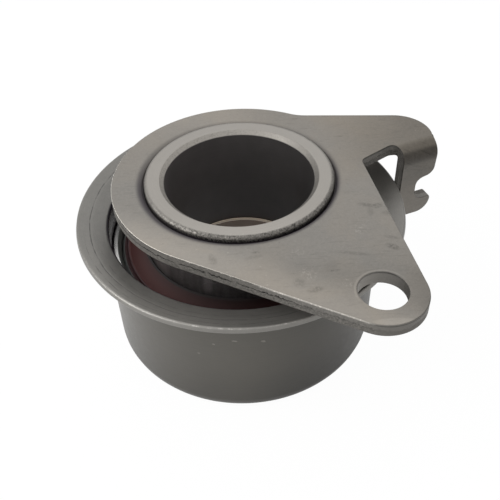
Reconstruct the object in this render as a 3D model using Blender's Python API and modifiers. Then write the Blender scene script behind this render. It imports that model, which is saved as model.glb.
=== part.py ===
"""Belt tensioner pulley.

A blanked bracket plate with a folded spring-hook tab is held on a turned sleeve hub. A pressed
pulley shell turns round the hub on a sealed ball bearing. The spin axis is Z, and the origin is
on that axis in the plane of the hub's head face. Units are metres.
"""
import math

import bmesh
import bpy
from mathutils import Matrix, Vector

MM = 0.001

# Fits between pieces
SEAT_GAP = 0.2 * MM
RUNNING_GAP = 0.18 * MM
BALL_GAP = 0.15 * MM
POCKET_GAP = 0.3 * MM

# Hub: head face at Z = 0
HUB_WALL = 2.7 * MM
BORE_CHAMFER = 1.0 * MM
LEDGE_DEPTH = 27.6 * MM
LEDGE_WIDTH = 0.8 * MM
HEAD_WIDTH = 4.5 * MM
HEAD_ROUNDING = 0.8 * MM
HEAD_PROUD = 0.8 * MM
SHOULDER_STEP = 0.6 * MM
HUB_END_CHAMFER = 0.5 * MM
HUB_TAIL = 1.7 * MM

# Bracket plate
SHEET = 3.0 * MM
SHEET_EDGE = 0.35 * MM
LOBE_WIDTH = 7.4 * MM
EAR_X = 26.25 * MM
EAR_Y = -37.35 * MM
EAR_R = 8.75 * MM
EAR_HOLE_R = 4.9 * MM
HEAD_RECESS_WIDTH = 1.15 * MM
HEAD_RECESS_DEPTH = 1.2 * MM
BACK_EDGE_STEP = 3.55 * MM
BACK_EDGE_TURN = math.radians(-4.6)
BACK_FILLET_R = 10.0 * MM
ARM_CORNER_R = 4.0 * MM
RELIEF_TURN = math.radians(34.5)
RELIEF_INNER_R = 1.8 * MM
RELIEF_OUTER_R = 2.0 * MM

# Folded tab with the spring hook
TAB_TURN = math.radians(20.0)
TAB_FACE = 7.3 * MM
TAB_CLEARANCE = 0.75 * MM
TAB_WIDTH = 9.78 * MM
TAB_DROP = 20.25 * MM
TAB_TAPER = math.radians(3.0)
FOLD_INNER_R = 0.8 * MM
NEUTRAL_SHARE = 0.4
HOOK_TOP = 8.7 * MM
HOOK_SLOPE = 1.0 * MM
HOOK_GAP = 7.05 * MM
HOOK_DEPTH = 5.28 * MM
HOOK_LIP_R = 2.4 * MM
HOOK_THROAT_R = 2.1 * MM
HOOK_FLOOR_R = 2.5 * MM
FINGER_INSET = 0.53 * MM
FINGER_TIP_R = 1.5 * MM
FINGER_END_R = 2.9 * MM
TAB_CORNER_R = 1.0 * MM

# Pulley shell
SHELL_SHEET = 1.3 * MM
SHELL_EDGE = 0.3 * MM
FLANGE_WIDTH = 5.95 * MM
FLANGE_TOP = 8.85 * MM
FLANGE_TILT = math.radians(15.0)
FLANGE_ROOT_R = 1.0 * MM
DRUM_END = 45.0 * MM
DRUM_END_R = 4.0 * MM
LIP_WIDTH = 6.0 * MM

# Ball bearing
BEARING_BORE_R = 20.0 * MM
BEARING_SECTION = 11.0 * MM
BEARING_TOP = 16.8 * MM
BEARING_WIDTH_SHARE = 1.4545455
RING_CHAMFER = 0.5 * MM
BALL_SHARE = 0.2886364
SHOULDER_SHARE = 0.5984252
BALL_COUNT = 14
GROOVE_CONFORMITY = 1.04
SEAL_THICKNESS = 1.0 * MM
SEAL_RIM_DEPTH = 1.9 * MM
SEAL_LIP_DEPTH = 0.4 * MM
SEAL_RIM_WIDTH = 0.6 * MM
CAGE_WALL_SHARE = 0.7559055
CAGE_BACK_SHARE = 1.3543307
CAGE_MOUTH_SHARE = 0.6929134

# Smoothness
SHELL_STEPS = 64
HUB_STEPS = 64
BEARING_STEPS = 48
LOBE_STEP = math.radians(5.0)
FILLET_STEP = math.radians(20.0)
FOLD_ROWS = 6
MERGE = 0.00001

# Sizes that follow from the ones above
SEAT_R = BEARING_BORE_R - SEAT_GAP
BORE_R = SEAT_R - HUB_WALL
HEAD_R = BORE_R + HEAD_WIDTH
PLATE_TOP = -HEAD_PROUD
PLATE_UNDER = PLATE_TOP - SHEET
PLATE_HOLE_R = HEAD_R + SEAT_GAP
LOBE_R = HEAD_R + LOBE_WIDTH
BACK_EDGE_DISTANCE = LOBE_R - BACK_EDGE_STEP
BEARING_OUTER_R = BEARING_BORE_R + BEARING_SECTION
BEARING_WIDTH = BEARING_SECTION * BEARING_WIDTH_SHARE
BEARING_UNDER = -BEARING_TOP - BEARING_WIDTH
BEARING_MIDDLE = -BEARING_TOP - BEARING_WIDTH / 2
PITCH_R = (BEARING_BORE_R + BEARING_OUTER_R) / 2
BALL_R = BEARING_SECTION * BALL_SHARE
INNER_SHOULDER_R = PITCH_R - BALL_R * SHOULDER_SHARE
OUTER_SHOULDER_R = PITCH_R + BALL_R * SHOULDER_SHARE
SEAL_RECESS_R = (OUTER_SHOULDER_R + BEARING_OUTER_R) / 2
SHOULDER_R = INNER_SHOULDER_R - SHOULDER_STEP
CAGE_WALL = BALL_R * CAGE_WALL_SHARE
CAGE_BACK = BALL_R * CAGE_BACK_SHARE
CAGE_MOUTH = BALL_R * CAGE_MOUTH_SHARE
HUB_END = BEARING_UNDER - HUB_TAIL
SHELL_BORE_R = BEARING_OUTER_R + SEAT_GAP
DRUM_R = SHELL_BORE_R + SHELL_SHEET
FLANGE_R = DRUM_R + FLANGE_WIDTH
LIP_R = DRUM_R - LIP_WIDTH
FOLD_OUTER_R = FOLD_INNER_R + SHEET
FOLD_START = TAB_FACE - FOLD_OUTER_R
FOLD_LENGTH = (FOLD_INNER_R + NEUTRAL_SHARE * SHEET) * math.pi / 2
TAB_LEFT = FLANGE_R + TAB_CLEARANCE
TAB_RIGHT = TAB_LEFT + TAB_WIDTH


def clear_scene():
    for thing in list(bpy.data.objects):
        bpy.data.objects.remove(thing, do_unlink=True)
    for group in list(bpy.data.collections):
        bpy.data.collections.remove(group)


def new_collection(name):
    group = bpy.data.collections.new(name)
    bpy.context.scene.collection.children.link(group)
    return group


def principled(name, colour, roughness, metallic):
    material = bpy.data.materials.new(name)
    material.use_nodes = True
    shader = material.node_tree.nodes["Principled BSDF"]
    shader.inputs["Base Color"].default_value = (*colour, 1.0)
    shader.inputs["Roughness"].default_value = roughness
    shader.inputs["Metallic"].default_value = metallic
    material.diffuse_color = (*colour, 1.0)
    return material


def add_object(name, mesh, group, material=None, parent=None):
    thing = bpy.data.objects.new(name, mesh)
    group.objects.link(thing)
    if material:
        thing.data.materials.append(material)
    if parent:
        thing.parent = parent
    return thing


def add_pivot(name, group):
    pivot = bpy.data.objects.new(name, None)
    pivot.empty_display_size = FLANGE_R
    group.objects.link(pivot)
    return pivot


def smooth(thing, angle=math.radians(35)):
    thing.data.shade_smooth()
    thing.data.set_sharp_from_angle(angle=angle)


def add_bevel(thing, width, segments=1):
    bevel = thing.modifiers.new("Edge", "BEVEL")
    bevel.width = width
    bevel.segments = segments
    bevel.limit_method = "ANGLE"
    bevel.angle_limit = math.radians(40)
    return bevel


def add_turned(name, profile, closed, steps, group, material=None, parent=None):
    """A profile of (radius, height) points, running down its outer side, spun about Z."""
    mesh = bpy.data.meshes.new(name)
    edges = [(i, i + 1) for i in range(len(profile) - 1)]
    if closed:
        edges.append((len(profile) - 1, 0))
    mesh.from_pydata([(radius, 0.0, height) for radius, height in profile], edges, [])
    thing = add_object(name, mesh, group, material, parent)
    screw = thing.modifiers.new("Turn", "SCREW")
    screw.steps = steps
    screw.render_steps = steps
    screw.use_merge_vertices = True
    screw.merge_threshold = MERGE
    screw.use_smooth_shade = True
    return thing


def mark_cutter(thing):
    thing.hide_render = True
    thing.display_type = "WIRE"


def cut(thing, cutter):
    boolean = thing.modifiers.new("Cut " + cutter.name, "BOOLEAN")
    boolean.operation = "DIFFERENCE"
    boolean.solver = "EXACT"
    boolean.object = cutter


def direction(angle):
    return Vector((math.cos(angle), math.sin(angle)))


def arc(centre, radius, start, end, step):
    """Points on an arc about centre, from one angle to another, both ends included."""
    count = max(2, math.ceil(abs(end - start) / step))
    angles = [start + (end - start) * i / count for i in range(count + 1)]
    return [centre + radius * direction(angle) for angle in angles]


def fillet(before, corner, after, radius):
    """Points of the arc that rounds one corner of an outline."""
    back = (before - corner).normalized()
    ahead = (after - corner).normalized()
    half = back.angle(ahead) / 2
    centre = corner + (back + ahead).normalized() * radius / math.sin(half)
    reach = radius / math.tan(half)
    first = corner + back * reach - centre
    last = corner + ahead * reach - centre
    start = math.atan2(first.y, first.x)
    sweep = (math.atan2(last.y, last.x) - start + math.pi) % (2 * math.pi) - math.pi
    return arc(centre, radius, start, start + sweep, FILLET_STEP)


def line_crossing(point_a, along_a, point_b, along_b):
    """Where two lines in a plane meet."""
    share = (point_b - point_a).cross(along_b) / along_a.cross(along_b)
    return point_a + along_a * share


TAB_ALONG = direction(TAB_TURN)
TAB_ACROSS = direction(TAB_TURN - math.pi / 2)


def on_tab(sideways, outward):
    """A point of the flat blank, by its place along the fold line and across it."""
    return TAB_ALONG * sideways + TAB_ACROSS * outward


def unrolled(drop):
    """How far across the blank a height of the hanging part lies, measured below the plate's top."""
    return FOLD_START + FOLD_LENGTH + drop - FOLD_OUTER_R


def on_hanging_tab(sideways, drop):
    return on_tab(sideways, unrolled(drop))


def tab_edge(outward):
    """The tab's outer edge, which leans in towards its end."""
    return on_tab(TAB_RIGHT - outward * math.tan(TAB_TAPER), outward)


def blank_outline():
    """The plate's outline before the tab is folded, anticlockwise from the back fillet."""
    axis = Vector((0.0, 0.0))
    ear = Vector((EAR_X, EAR_Y))
    towards_ear = math.atan2(EAR_Y, EAR_X)
    spread = math.acos((LOBE_R - EAR_R) / ear.length)
    front_normal = towards_ear - spread
    right_normal = towards_ear + spread

    back_normal = direction(BACK_EDGE_TURN + math.pi / 2)
    back_along = direction(BACK_EDGE_TURN)
    fillet_reach = math.sqrt((LOBE_R + BACK_FILLET_R) ** 2 - (BACK_EDGE_DISTANCE + BACK_FILLET_R) ** 2)
    fillet_centre = back_normal * (BACK_EDGE_DISTANCE + BACK_FILLET_R) + back_along * fillet_reach
    fillet_end = math.atan2(-fillet_centre.y, -fillet_centre.x)
    fillet_start = BACK_EDGE_TURN - math.pi / 2
    lobe_start = math.atan2(fillet_centre.y, fillet_centre.x)

    points = arc(fillet_centre, BACK_FILLET_R, fillet_start, fillet_end, FILLET_STEP)
    points += arc(axis, LOBE_R, lobe_start, front_normal + 2 * math.pi, LOBE_STEP)[1:]
    points += arc(ear, EAR_R, front_normal, right_normal, FILLET_STEP)

    relief_root = LOBE_R * direction(right_normal)
    relief_end = line_crossing(relief_root, direction(RELIEF_TURN), on_tab(TAB_LEFT, 0), TAB_ACROSS)
    edge_along = tab_edge(TAB_WIDTH) - tab_edge(0)
    arm_corner = line_crossing(back_normal * BACK_EDGE_DISTANCE, back_along, tab_edge(0), edge_along)
    hook_under = HOOK_TOP + HOOK_GAP
    hook_root = TAB_RIGHT - HOOK_DEPTH
    corners = [
        (relief_root, RELIEF_INNER_R),
        (relief_end, RELIEF_OUTER_R),
        (on_hanging_tab(TAB_LEFT, TAB_DROP), TAB_CORNER_R),
        (on_hanging_tab(TAB_RIGHT - FINGER_INSET, TAB_DROP), FINGER_END_R),
        (on_hanging_tab(TAB_RIGHT - FINGER_INSET, hook_under), FINGER_TIP_R),
        (on_hanging_tab(hook_root, hook_under), HOOK_FLOOR_R),
        (on_hanging_tab(hook_root, HOOK_TOP + HOOK_SLOPE), HOOK_THROAT_R),
        (tab_edge(unrolled(HOOK_TOP)), HOOK_LIP_R),
        (arm_corner, ARM_CORNER_R),
    ]
    stops = [points[-1]] + [corner for corner, radius in corners] + [points[0]]
    for i, (corner, radius) in enumerate(corners):
        points += fillet(stops[i], corner, stops[i + 2], radius)
    return points


def flat_blank(name, outline, holes, group):
    """A sheet blank with holes, cut from a filled 2D curve and centred on the sheet's middle."""
    curve = bpy.data.curves.new(name, "CURVE")
    curve.dimensions = "2D"
    curve.fill_mode = "BOTH"
    curve.extrude = SHEET / 2
    for loop in [outline] + holes:
        spline = curve.splines.new("POLY")
        spline.points.add(len(loop) - 1)
        for point, place in zip(spline.points, loop):
            point.co = (place.x, place.y, 0.0, 1.0)
        spline.use_cyclic_u = True
    drawn = bpy.data.objects.new(name + "_curve", curve)
    group.objects.link(drawn)
    graph = bpy.context.evaluated_depsgraph_get()
    mesh = bpy.data.meshes.new_from_object(drawn.evaluated_get(graph))
    mesh.name = name
    mesh.transform(Matrix.Translation((0.0, 0.0, PLATE_TOP - SHEET / 2)) @ drawn.matrix_world)
    bpy.data.objects.remove(drawn, do_unlink=True)
    return mesh


def fold_tab(mesh):
    """Roll the tab of the blank down about its fold line, through a right angle."""
    along = TAB_ALONG.to_3d()
    across = TAB_ACROSS.to_3d()
    root = TAB_LEFT - RELIEF_OUTER_R * 1.5

    def in_tab(vert):
        return vert.co.dot(along) > root and vert.co.dot(across) > FOLD_START + MERGE

    bm = bmesh.new()
    bm.from_mesh(mesh)
    bmesh.ops.remove_doubles(bm, verts=bm.verts[:], dist=MERGE / 10)
    for row in range(FOLD_ROWS + 1):
        faces = [face for face in bm.faces if any(in_tab(vert) for vert in face.verts)]
        edges = {edge for face in faces for edge in face.edges}
        verts = {vert for face in faces for vert in face.verts}
        height = FOLD_START + FOLD_LENGTH * row / FOLD_ROWS
        bmesh.ops.bisect_plane(bm, geom=list(verts) + list(edges) + faces, dist=MERGE / 10,
                               plane_co=across * height, plane_no=across)
    for vert in [vert for vert in bm.verts if in_tab(vert)]:
        reach = vert.co.dot(across) - FOLD_START
        rolled = min(reach, FOLD_LENGTH)
        angle = rolled / FOLD_LENGTH * math.pi / 2
        radius = FOLD_OUTER_R - (PLATE_TOP - vert.co.z)
        vert.co += across * (radius * math.sin(angle) - reach)
        vert.co.z = PLATE_TOP - FOLD_OUTER_R + radius * math.cos(angle) - (reach - rolled)
    bmesh.ops.recalc_face_normals(bm, faces=bm.faces[:])
    bm.to_mesh(mesh)
    bm.free()


def make_bracket_plate(group, cutters, material):
    ear_hole = arc(Vector((EAR_X, EAR_Y)), EAR_HOLE_R, 0.0, 2 * math.pi, FILLET_STEP)[:-1]
    mesh = flat_blank("bracket_plate", blank_outline(), [ear_hole], group)
    fold_tab(mesh)
    plate = add_object("bracket_plate", mesh, group, material)
    recess_r = PLATE_HOLE_R + HEAD_RECESS_WIDTH
    profile = [
        (0.0, PLATE_TOP + SHEET),
        (recess_r, PLATE_TOP + SHEET),
        (recess_r, PLATE_TOP - HEAD_RECESS_DEPTH),
        (PLATE_HOLE_R, PLATE_TOP - HEAD_RECESS_DEPTH),
        (PLATE_HOLE_R, PLATE_UNDER - SHEET),
        (0.0, PLATE_UNDER - SHEET),
    ]
    cutter = add_turned("plate_hole", profile, False, HUB_STEPS, cutters)
    mark_cutter(cutter)
    cut(plate, cutter)
    add_bevel(plate, SHEET_EDGE)
    smooth(plate)
    return plate


def make_hub_sleeve(group, material):
    rounding = Vector((HEAD_R - HEAD_ROUNDING, -HEAD_ROUNDING))
    head = [tuple(p) for p in arc(rounding, HEAD_ROUNDING, math.pi / 2, 0.0, math.pi / 6)]
    lower_bore = BORE_R - LEDGE_WIDTH
    profile = head + [
        (HEAD_R, PLATE_UNDER - SEAT_GAP),
        (SHOULDER_R, PLATE_UNDER - SEAT_GAP),
        (SHOULDER_R, -BEARING_TOP + SEAT_GAP),
        (SEAT_R, -BEARING_TOP + SEAT_GAP),
        (SEAT_R, HUB_END + HUB_END_CHAMFER),
        (SEAT_R - HUB_END_CHAMFER, HUB_END),
        (lower_bore, HUB_END),
        (lower_bore, -LEDGE_DEPTH),
        (BORE_R, -LEDGE_DEPTH),
        (BORE_R, -BORE_CHAMFER),
        (BORE_R + BORE_CHAMFER, 0.0),
    ]
    hub = add_turned("hub_sleeve", profile, True, HUB_STEPS, group, material)
    return hub


def shell_path():
    """The belt side of the shell, from the flange's rim down the drum and in along the lip."""
    down_flange = direction(-math.pi + FLANGE_TILT)
    rim = Vector((FLANGE_R, -FLANGE_TOP)) + SHELL_SHEET * direction(FLANGE_TILT - math.pi / 2)
    rim = rim + down_flange * (rim.x - FLANGE_R) / math.cos(FLANGE_TILT)
    corner = line_crossing(rim, down_flange, Vector((DRUM_R, 0.0)), Vector((0.0, 1.0)))
    foot = Vector((DRUM_R, -DRUM_END))
    lip = Vector((LIP_R, -DRUM_END))
    points = [rim]
    points += fillet(rim, corner, foot, FLANGE_ROOT_R)
    points += fillet(corner, foot, lip, DRUM_END_R)
    points.append(lip)
    return [tuple(point) for point in points]


def make_pulley_shell(group, material, parent):
    shell = add_turned("pulley_shell", shell_path(), False, SHELL_STEPS, group, material, parent)
    wall = shell.modifiers.new("Wall", "SOLIDIFY")
    wall.thickness = SHELL_SHEET
    wall.offset = -1.0
    wall.use_even_offset = True
    add_bevel(shell, SHELL_EDGE)
    return shell


def groove(shoulder_r, side):
    """A race groove's profile from its upper to its lower edge; side is +1 on the outer ring."""
    radius = BALL_R * GROOVE_CONFORMITY
    bottom = PITCH_R + side * (BALL_R + BALL_GAP)
    centre = bottom - side * radius
    half = math.acos((shoulder_r - centre) * side / radius)
    count = 6
    angles = [half - 2 * half * i / count for i in range(count + 1)]
    return [(centre + side * radius * math.cos(a), BEARING_MIDDLE + radius * math.sin(a)) for a in angles]


def mirrored(profile):
    """A profile's points turned over about the bearing's middle plane, in reverse order."""
    return [(radius, 2 * BEARING_MIDDLE - height) for radius, height in reversed(profile)]


def make_inner_ring(group, material):
    top = -BEARING_TOP
    upper = [
        (BEARING_BORE_R, top - RING_CHAMFER),
        (BEARING_BORE_R + RING_CHAMFER, top),
        (INNER_SHOULDER_R - RING_CHAMFER, top),
        (INNER_SHOULDER_R, top - RING_CHAMFER),
    ]
    profile = upper + groove(INNER_SHOULDER_R, -1) + mirrored(upper)
    return add_turned("inner_ring", profile, True, BEARING_STEPS, group, material)


def make_outer_ring(group, material, parent):
    top = -BEARING_TOP
    seat = top - SEAL_RIM_DEPTH - SEAL_THICKNESS - SEAT_GAP
    inside = [
        (SEAL_RECESS_R + RING_CHAMFER, top),
        (SEAL_RECESS_R, top - RING_CHAMFER),
        (SEAL_RECESS_R, seat),
        (OUTER_SHOULDER_R, seat),
    ]
    outside = [
        (BEARING_OUTER_R - RING_CHAMFER, top),
        (BEARING_OUTER_R, top - RING_CHAMFER),
    ]
    bore = inside + groove(OUTER_SHOULDER_R, 1) + mirrored(inside)
    profile = outside + mirrored(outside) + bore[::-1]
    return add_turned("outer_ring", profile, True, BEARING_STEPS, group, material, parent)


def seal_profile():
    """Upper seal: a rim in the outer ring's recess, a coned web and a lip at the inner ring."""
    top = -BEARING_TOP
    rim_r = SEAL_RECESS_R - SEAT_GAP
    lip_r = INNER_SHOULDER_R + RUNNING_GAP
    rim_top = top - SEAL_RIM_DEPTH
    lip_top = top - SEAL_LIP_DEPTH
    return [
        (rim_r - SEAL_RIM_WIDTH, rim_top + SEAL_RIM_WIDTH / 4),
        (rim_r, rim_top),
        (rim_r, rim_top - SEAL_THICKNESS),
        (rim_r - SEAL_RIM_WIDTH, rim_top - SEAL_THICKNESS),
        (lip_r + SEAL_RIM_WIDTH, lip_top - SEAL_THICKNESS),
        (lip_r, lip_top - SEAL_THICKNESS / 2),
        (lip_r, lip_top),
        (lip_r + SEAL_RIM_WIDTH, lip_top),
    ]


def make_seals(group, material, parent):
    upper = seal_profile()
    add_turned("seal_upper", upper, True, BEARING_STEPS, group, material, parent)
    add_turned("seal_lower", mirrored(upper), True, BEARING_STEPS, group, material, parent)


def ball_place(index):
    angle = 2 * math.pi * index / BALL_COUNT
    return Vector((PITCH_R * math.cos(angle), PITCH_R * math.sin(angle), BEARING_MIDDLE))


def make_balls(group, material, parent):
    mesh = bpy.data.meshes.new("ball")
    bm = bmesh.new()
    bmesh.ops.create_uvsphere(bm, u_segments=10, v_segments=7, radius=BALL_R)
    bm.to_mesh(mesh)
    bm.free()
    mesh.shade_smooth()
    mesh.materials.append(material)
    for index in range(BALL_COUNT):
        ball = add_object(f"ball_{index + 1:02d}", mesh, group, parent=parent)
        ball.location = ball_place(index)


def pocket_cutters():
    """One mesh of radial cylinders, each a ball's pocket through the cage's wall."""
    mesh = bpy.data.meshes.new("cage_pockets")
    bm = bmesh.new()
    for index in range(BALL_COUNT):
        turn = Matrix.Rotation(2 * math.pi * index / BALL_COUNT, 4, "Z")
        lie = Matrix.Rotation(math.pi / 2, 4, "Y")
        place = Matrix.Translation((PITCH_R, 0.0, BEARING_MIDDLE))
        bmesh.ops.create_cone(bm, cap_ends=True, segments=16, radius1=BALL_R + POCKET_GAP,
                              radius2=BALL_R + POCKET_GAP, depth=3 * CAGE_WALL,
                              matrix=turn @ place @ lie)
    bm.to_mesh(mesh)
    bm.free()
    return mesh


def make_ball_cage(group, cutters, material, parent):
    """A crown cage: a solid rim above the balls, and prongs that close round them below."""
    inner_r = PITCH_R - CAGE_WALL / 2
    outer_r = PITCH_R + CAGE_WALL / 2
    profile = [
        (outer_r, BEARING_MIDDLE + CAGE_BACK),
        (outer_r, BEARING_MIDDLE - CAGE_MOUTH),
        (inner_r, BEARING_MIDDLE - CAGE_MOUTH),
        (inner_r, BEARING_MIDDLE + CAGE_BACK),
    ]
    cage = add_turned("ball_cage", profile, True, BEARING_STEPS, group, material, parent)
    cutter = add_object("cage_pockets", pocket_cutters(), cutters)
    mark_cutter(cutter)
    cut(cage, cutter)
    return cage


def main():
    clear_scene()
    parts = new_collection("tensioner_pulley")
    cutters = new_collection("cutters")
    plate_steel = principled("plate_steel", (0.262, 0.246, 0.223), 0.42, 0.85)
    turned_steel = principled("turned_steel", (0.376, 0.352, 0.323), 0.34, 0.85)
    drawn_steel = principled("drawn_steel", (0.195, 0.191, 0.178), 0.38, 0.85)
    bearing_steel = principled("bearing_steel", (0.53, 0.52, 0.49), 0.18, 1.0)
    seal_rubber = principled("seal_rubber", (0.062, 0.032, 0.030), 0.48, 0.0)
    cage_resin = principled("cage_resin", (0.42, 0.36, 0.25), 0.55, 0.0)

    pulley = add_pivot("pulley_axis", parts)
    ball_set = add_pivot("ball_set_axis", parts)
    make_bracket_plate(parts, cutters, plate_steel)
    make_hub_sleeve(parts, turned_steel)
    make_inner_ring(parts, bearing_steel)
    make_pulley_shell(parts, drawn_steel, pulley)
    make_outer_ring(parts, bearing_steel, pulley)
    make_seals(parts, seal_rubber, pulley)
    make_ball_cage(parts, cutters, cage_resin, ball_set)
    make_balls(parts, bearing_steel, ball_set)


main()
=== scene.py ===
import math

import bmesh
import bpy
from bpy.props import FloatProperty, FloatVectorProperty, IntProperty, PointerProperty
from mathutils import Matrix, Vector


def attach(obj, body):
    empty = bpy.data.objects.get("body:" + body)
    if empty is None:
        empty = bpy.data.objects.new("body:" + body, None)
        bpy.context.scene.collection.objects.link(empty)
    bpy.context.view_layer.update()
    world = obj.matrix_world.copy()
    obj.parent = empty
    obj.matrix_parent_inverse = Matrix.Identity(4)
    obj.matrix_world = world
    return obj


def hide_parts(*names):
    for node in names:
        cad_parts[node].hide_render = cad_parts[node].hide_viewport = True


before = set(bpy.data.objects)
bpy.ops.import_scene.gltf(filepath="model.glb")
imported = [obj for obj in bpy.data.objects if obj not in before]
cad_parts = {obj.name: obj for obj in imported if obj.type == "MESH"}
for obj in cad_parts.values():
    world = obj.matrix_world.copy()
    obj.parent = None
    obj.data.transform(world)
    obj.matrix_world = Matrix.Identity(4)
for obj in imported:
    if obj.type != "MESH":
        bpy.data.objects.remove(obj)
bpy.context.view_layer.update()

bl_info = {
    "name": "Belt tensioner pulley",
    "version": (1, 0, 0),
    "blender": (4, 5, 0),
    "location": "3D View > Sidebar > Tensioner",
    "description": "A flanged belt pulley on a sealed bearing, with its hub, bracket plate and spring-hook tab",
    "category": "Add Mesh",
}

MM = 0.001

# Colours of single places, linear
# Painted shade in the groove around the hub's head
GROOVE_SHADE = (0.043, 0.037, 0.041)
# Painted shade on the side of the hub's head, down in that groove
HEAD_SIDE_SHADE = (0.060, 0.049, 0.058)
SHAFT_STEEL = (0.150, 0.140, 0.138)
LEDGE_GLINT = (1.0, 0.86, 0.70)
# Painted reflection at the bore's foot, below the ledge
BORE_FOOT_REFLECTION = (0.30, 0.235, 0.190)
# Painted shade inside the shell, striped with the painted reflection below
SHELL_INNER_SHADE = (0.013, 0.009, 0.018)
SHELL_SHEEN = (0.036, 0.033, 0.040)
# Painted shade in the outer ring's seal recess
RING_RECESS_SHADE = (0.110, 0.116, 0.106)
# Painted shade on the inner ring's rim, in the gap under a seal's lip
RING_GAP_SHADE = (0.018, 0.016, 0.018)
LIP_SHADOW = (0.014, 0.011, 0.011)
SEAL_EDGE = (0.040, 0.017, 0.018)
# Painted highlights on a seal's bead and ridge
SEAL_BEAD_HIGHLIGHT = (0.085, 0.087, 0.084)
SEAL_RIDGE_HIGHLIGHT = (0.13, 0.095, 0.105)
WHITE = (1.0, 1.0, 1.0, 1.0)

# Tints over a piece's own colour
WARM_TINT = (1.03, 0.965, 0.88)
OLIVE_TINT = (1.0, 0.97, 0.91)

# Dark marks on the plate: place X and Y, reach X and Y in millimetres, turn in radians, weight
PLATE_MARKS = (
    (34.5, 1.2, 3.0, 1.4, 0.3, 0.8), (33.2, 3.3, 1.4, 0.8, 0.6, 0.7), (31.3, -15.0, 1.6, 0.9, -0.1, 0.4),
    (17.5, -30.0, 2.0, 1.2, 0.6, 0.2), (10.3, -30.6, 3.2, 2.2, 0.4, 0.12), (2.2, -26.6, 2.0, 0.6, 0.2, 0.3),
    (-6.0, -26.8, 0.8, 1.9, 0.3, 0.45), (24.6, 14.4, 1.4, 0.35, 0.1, 0.4), (14.5, 22.9, 1.6, 0.4, 0.1, 0.4),
    (22.4, -26.9, 3.4, 0.5, -0.2, 0.35), (30.5, -22.6, 1.7, 0.5, -0.3, 0.4), (30.2, -25.4, 1.5, 0.8, -0.6, 0.7),
    (27.0, -12.0, 1.9, 0.7, -0.25, 0.5), (29.3, -12.4, 1.4, 0.8, 0.5, 0.5), (27.6, -14.2, 0.8, 1.4, 0.0, 0.35),
    (2.6, -25.3, 0.9, 0.35, 0.0, 0.6), (13.5, -36.3, 1.7, 0.8, 0.2, 0.6), (10.6, -34.3, 1.3, 1.5, 0.3, 0.45),
    (17.5, -31.4, 1.3, 0.3, 0.1, 0.5),
)
# Bright scuffs on the plate: place X and Y and reach in millimetres
PLATE_SCUFFS = ((24.2, -19.5, 2.2), (11.0, -25.9, 1.6), (12.6, -31.7, 2.4), (19.9, -34.9, 1.4))
# Chips on the drum: turn in degrees, height, width and height of the chip in millimetres
DRUM_CHIPS = ((-102.7, -21.1, 0.30, 0.22), (-94.6, -19.6, 0.65, 0.22), (-83.8, -20.2, 0.55, 0.32))
# Steps of a seal's web: radius, height above the web's slope and rounding in millimetres
SEAL_STEPS = ((27.15, 0.0, 0.3), (27.35, 0.16, 0.08), (27.62, 0.16, 0.08), (27.75, -0.22, 0.08),
              (28.15, -0.22, 0.08), (28.25, 0.10, 0.1), (28.68, 0.06, 0.12))

# Lengths of the segments that curves and long straights are divided into
OUTLINE_SPACING = 0.35 * MM
OUTLINE_LONGEST = 1.2 * MM
PROFILE_LONGEST = 1.5 * MM
EAR_HOLE_SPACING = 0.3 * MM
HUB_HOLE_SPACING = 0.6 * MM
# Steps around each turned piece, across the fold and down a race groove
HUB_TURNS = 192
SHELL_TURNS = 288
INNER_RING_TURNS = 160
OUTER_RING_TURNS = 224
SEAL_TURNS = 192
FOLD_ROWS = 20
RACE_STEPS = 20

RAIL_RADIUS = 24.0 * MM
HOLE_ROUNDING = 0.10 * MM
BALL_GAP = 0.15 * MM
RACE_SHARE = 1.04
SEAL_SEAT_GAP = 0.2 * MM
SEAL_RUNNING_GAP = 0.18 * MM
SEAL_LIP_GAP = 0.15 * MM
SEAL_LIP_HEIGHT = 0.50 * MM
SEAL_UNDERSIDE = 0.08 * MM

# Levels seen directly, in reflections and as light on matt surfaces
FLOOR_LEVELS = (0.97, 0.35, 0.0)
SKY_LEVELS = (1.0, 1.0, 0.78)
# Place, target and size of the soft lights, in metres
KEY_LIGHT = ((-0.55, -0.10, 0.30), (0.0, 0.0, -0.02), (0.5, 0.5))
TOP_LIGHT = ((-0.05, 0.38, 0.42), (0.0, 0.0, -0.01), (0.7, 0.5))
# The camera that was fitted to the photograph
CAMERA_PLACE = (0.0, -0.12754, 0.09556)
CAMERA_RIGHT = (0.99883, -0.04001, -0.02714)
CAMERA_UP = (0.04715, 0.68184, 0.72998)
CAMERA_AWAY = (-0.0107, -0.73041, 0.68293)


def length(name, description, millimetres):
    return FloatProperty(name=name, description=description, default=millimetres * MM, precision=5,
                         unit="LENGTH", subtype="DISTANCE")


def angle(name, description, degrees):
    return FloatProperty(name=name, description=description, default=math.radians(degrees),
                         unit="ROTATION", subtype="ANGLE")


def colour(name, description, linear):
    return FloatVectorProperty(name=name, description=description, default=linear, size=3,
                               min=0.0, max=1.0, subtype="COLOR")


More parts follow.
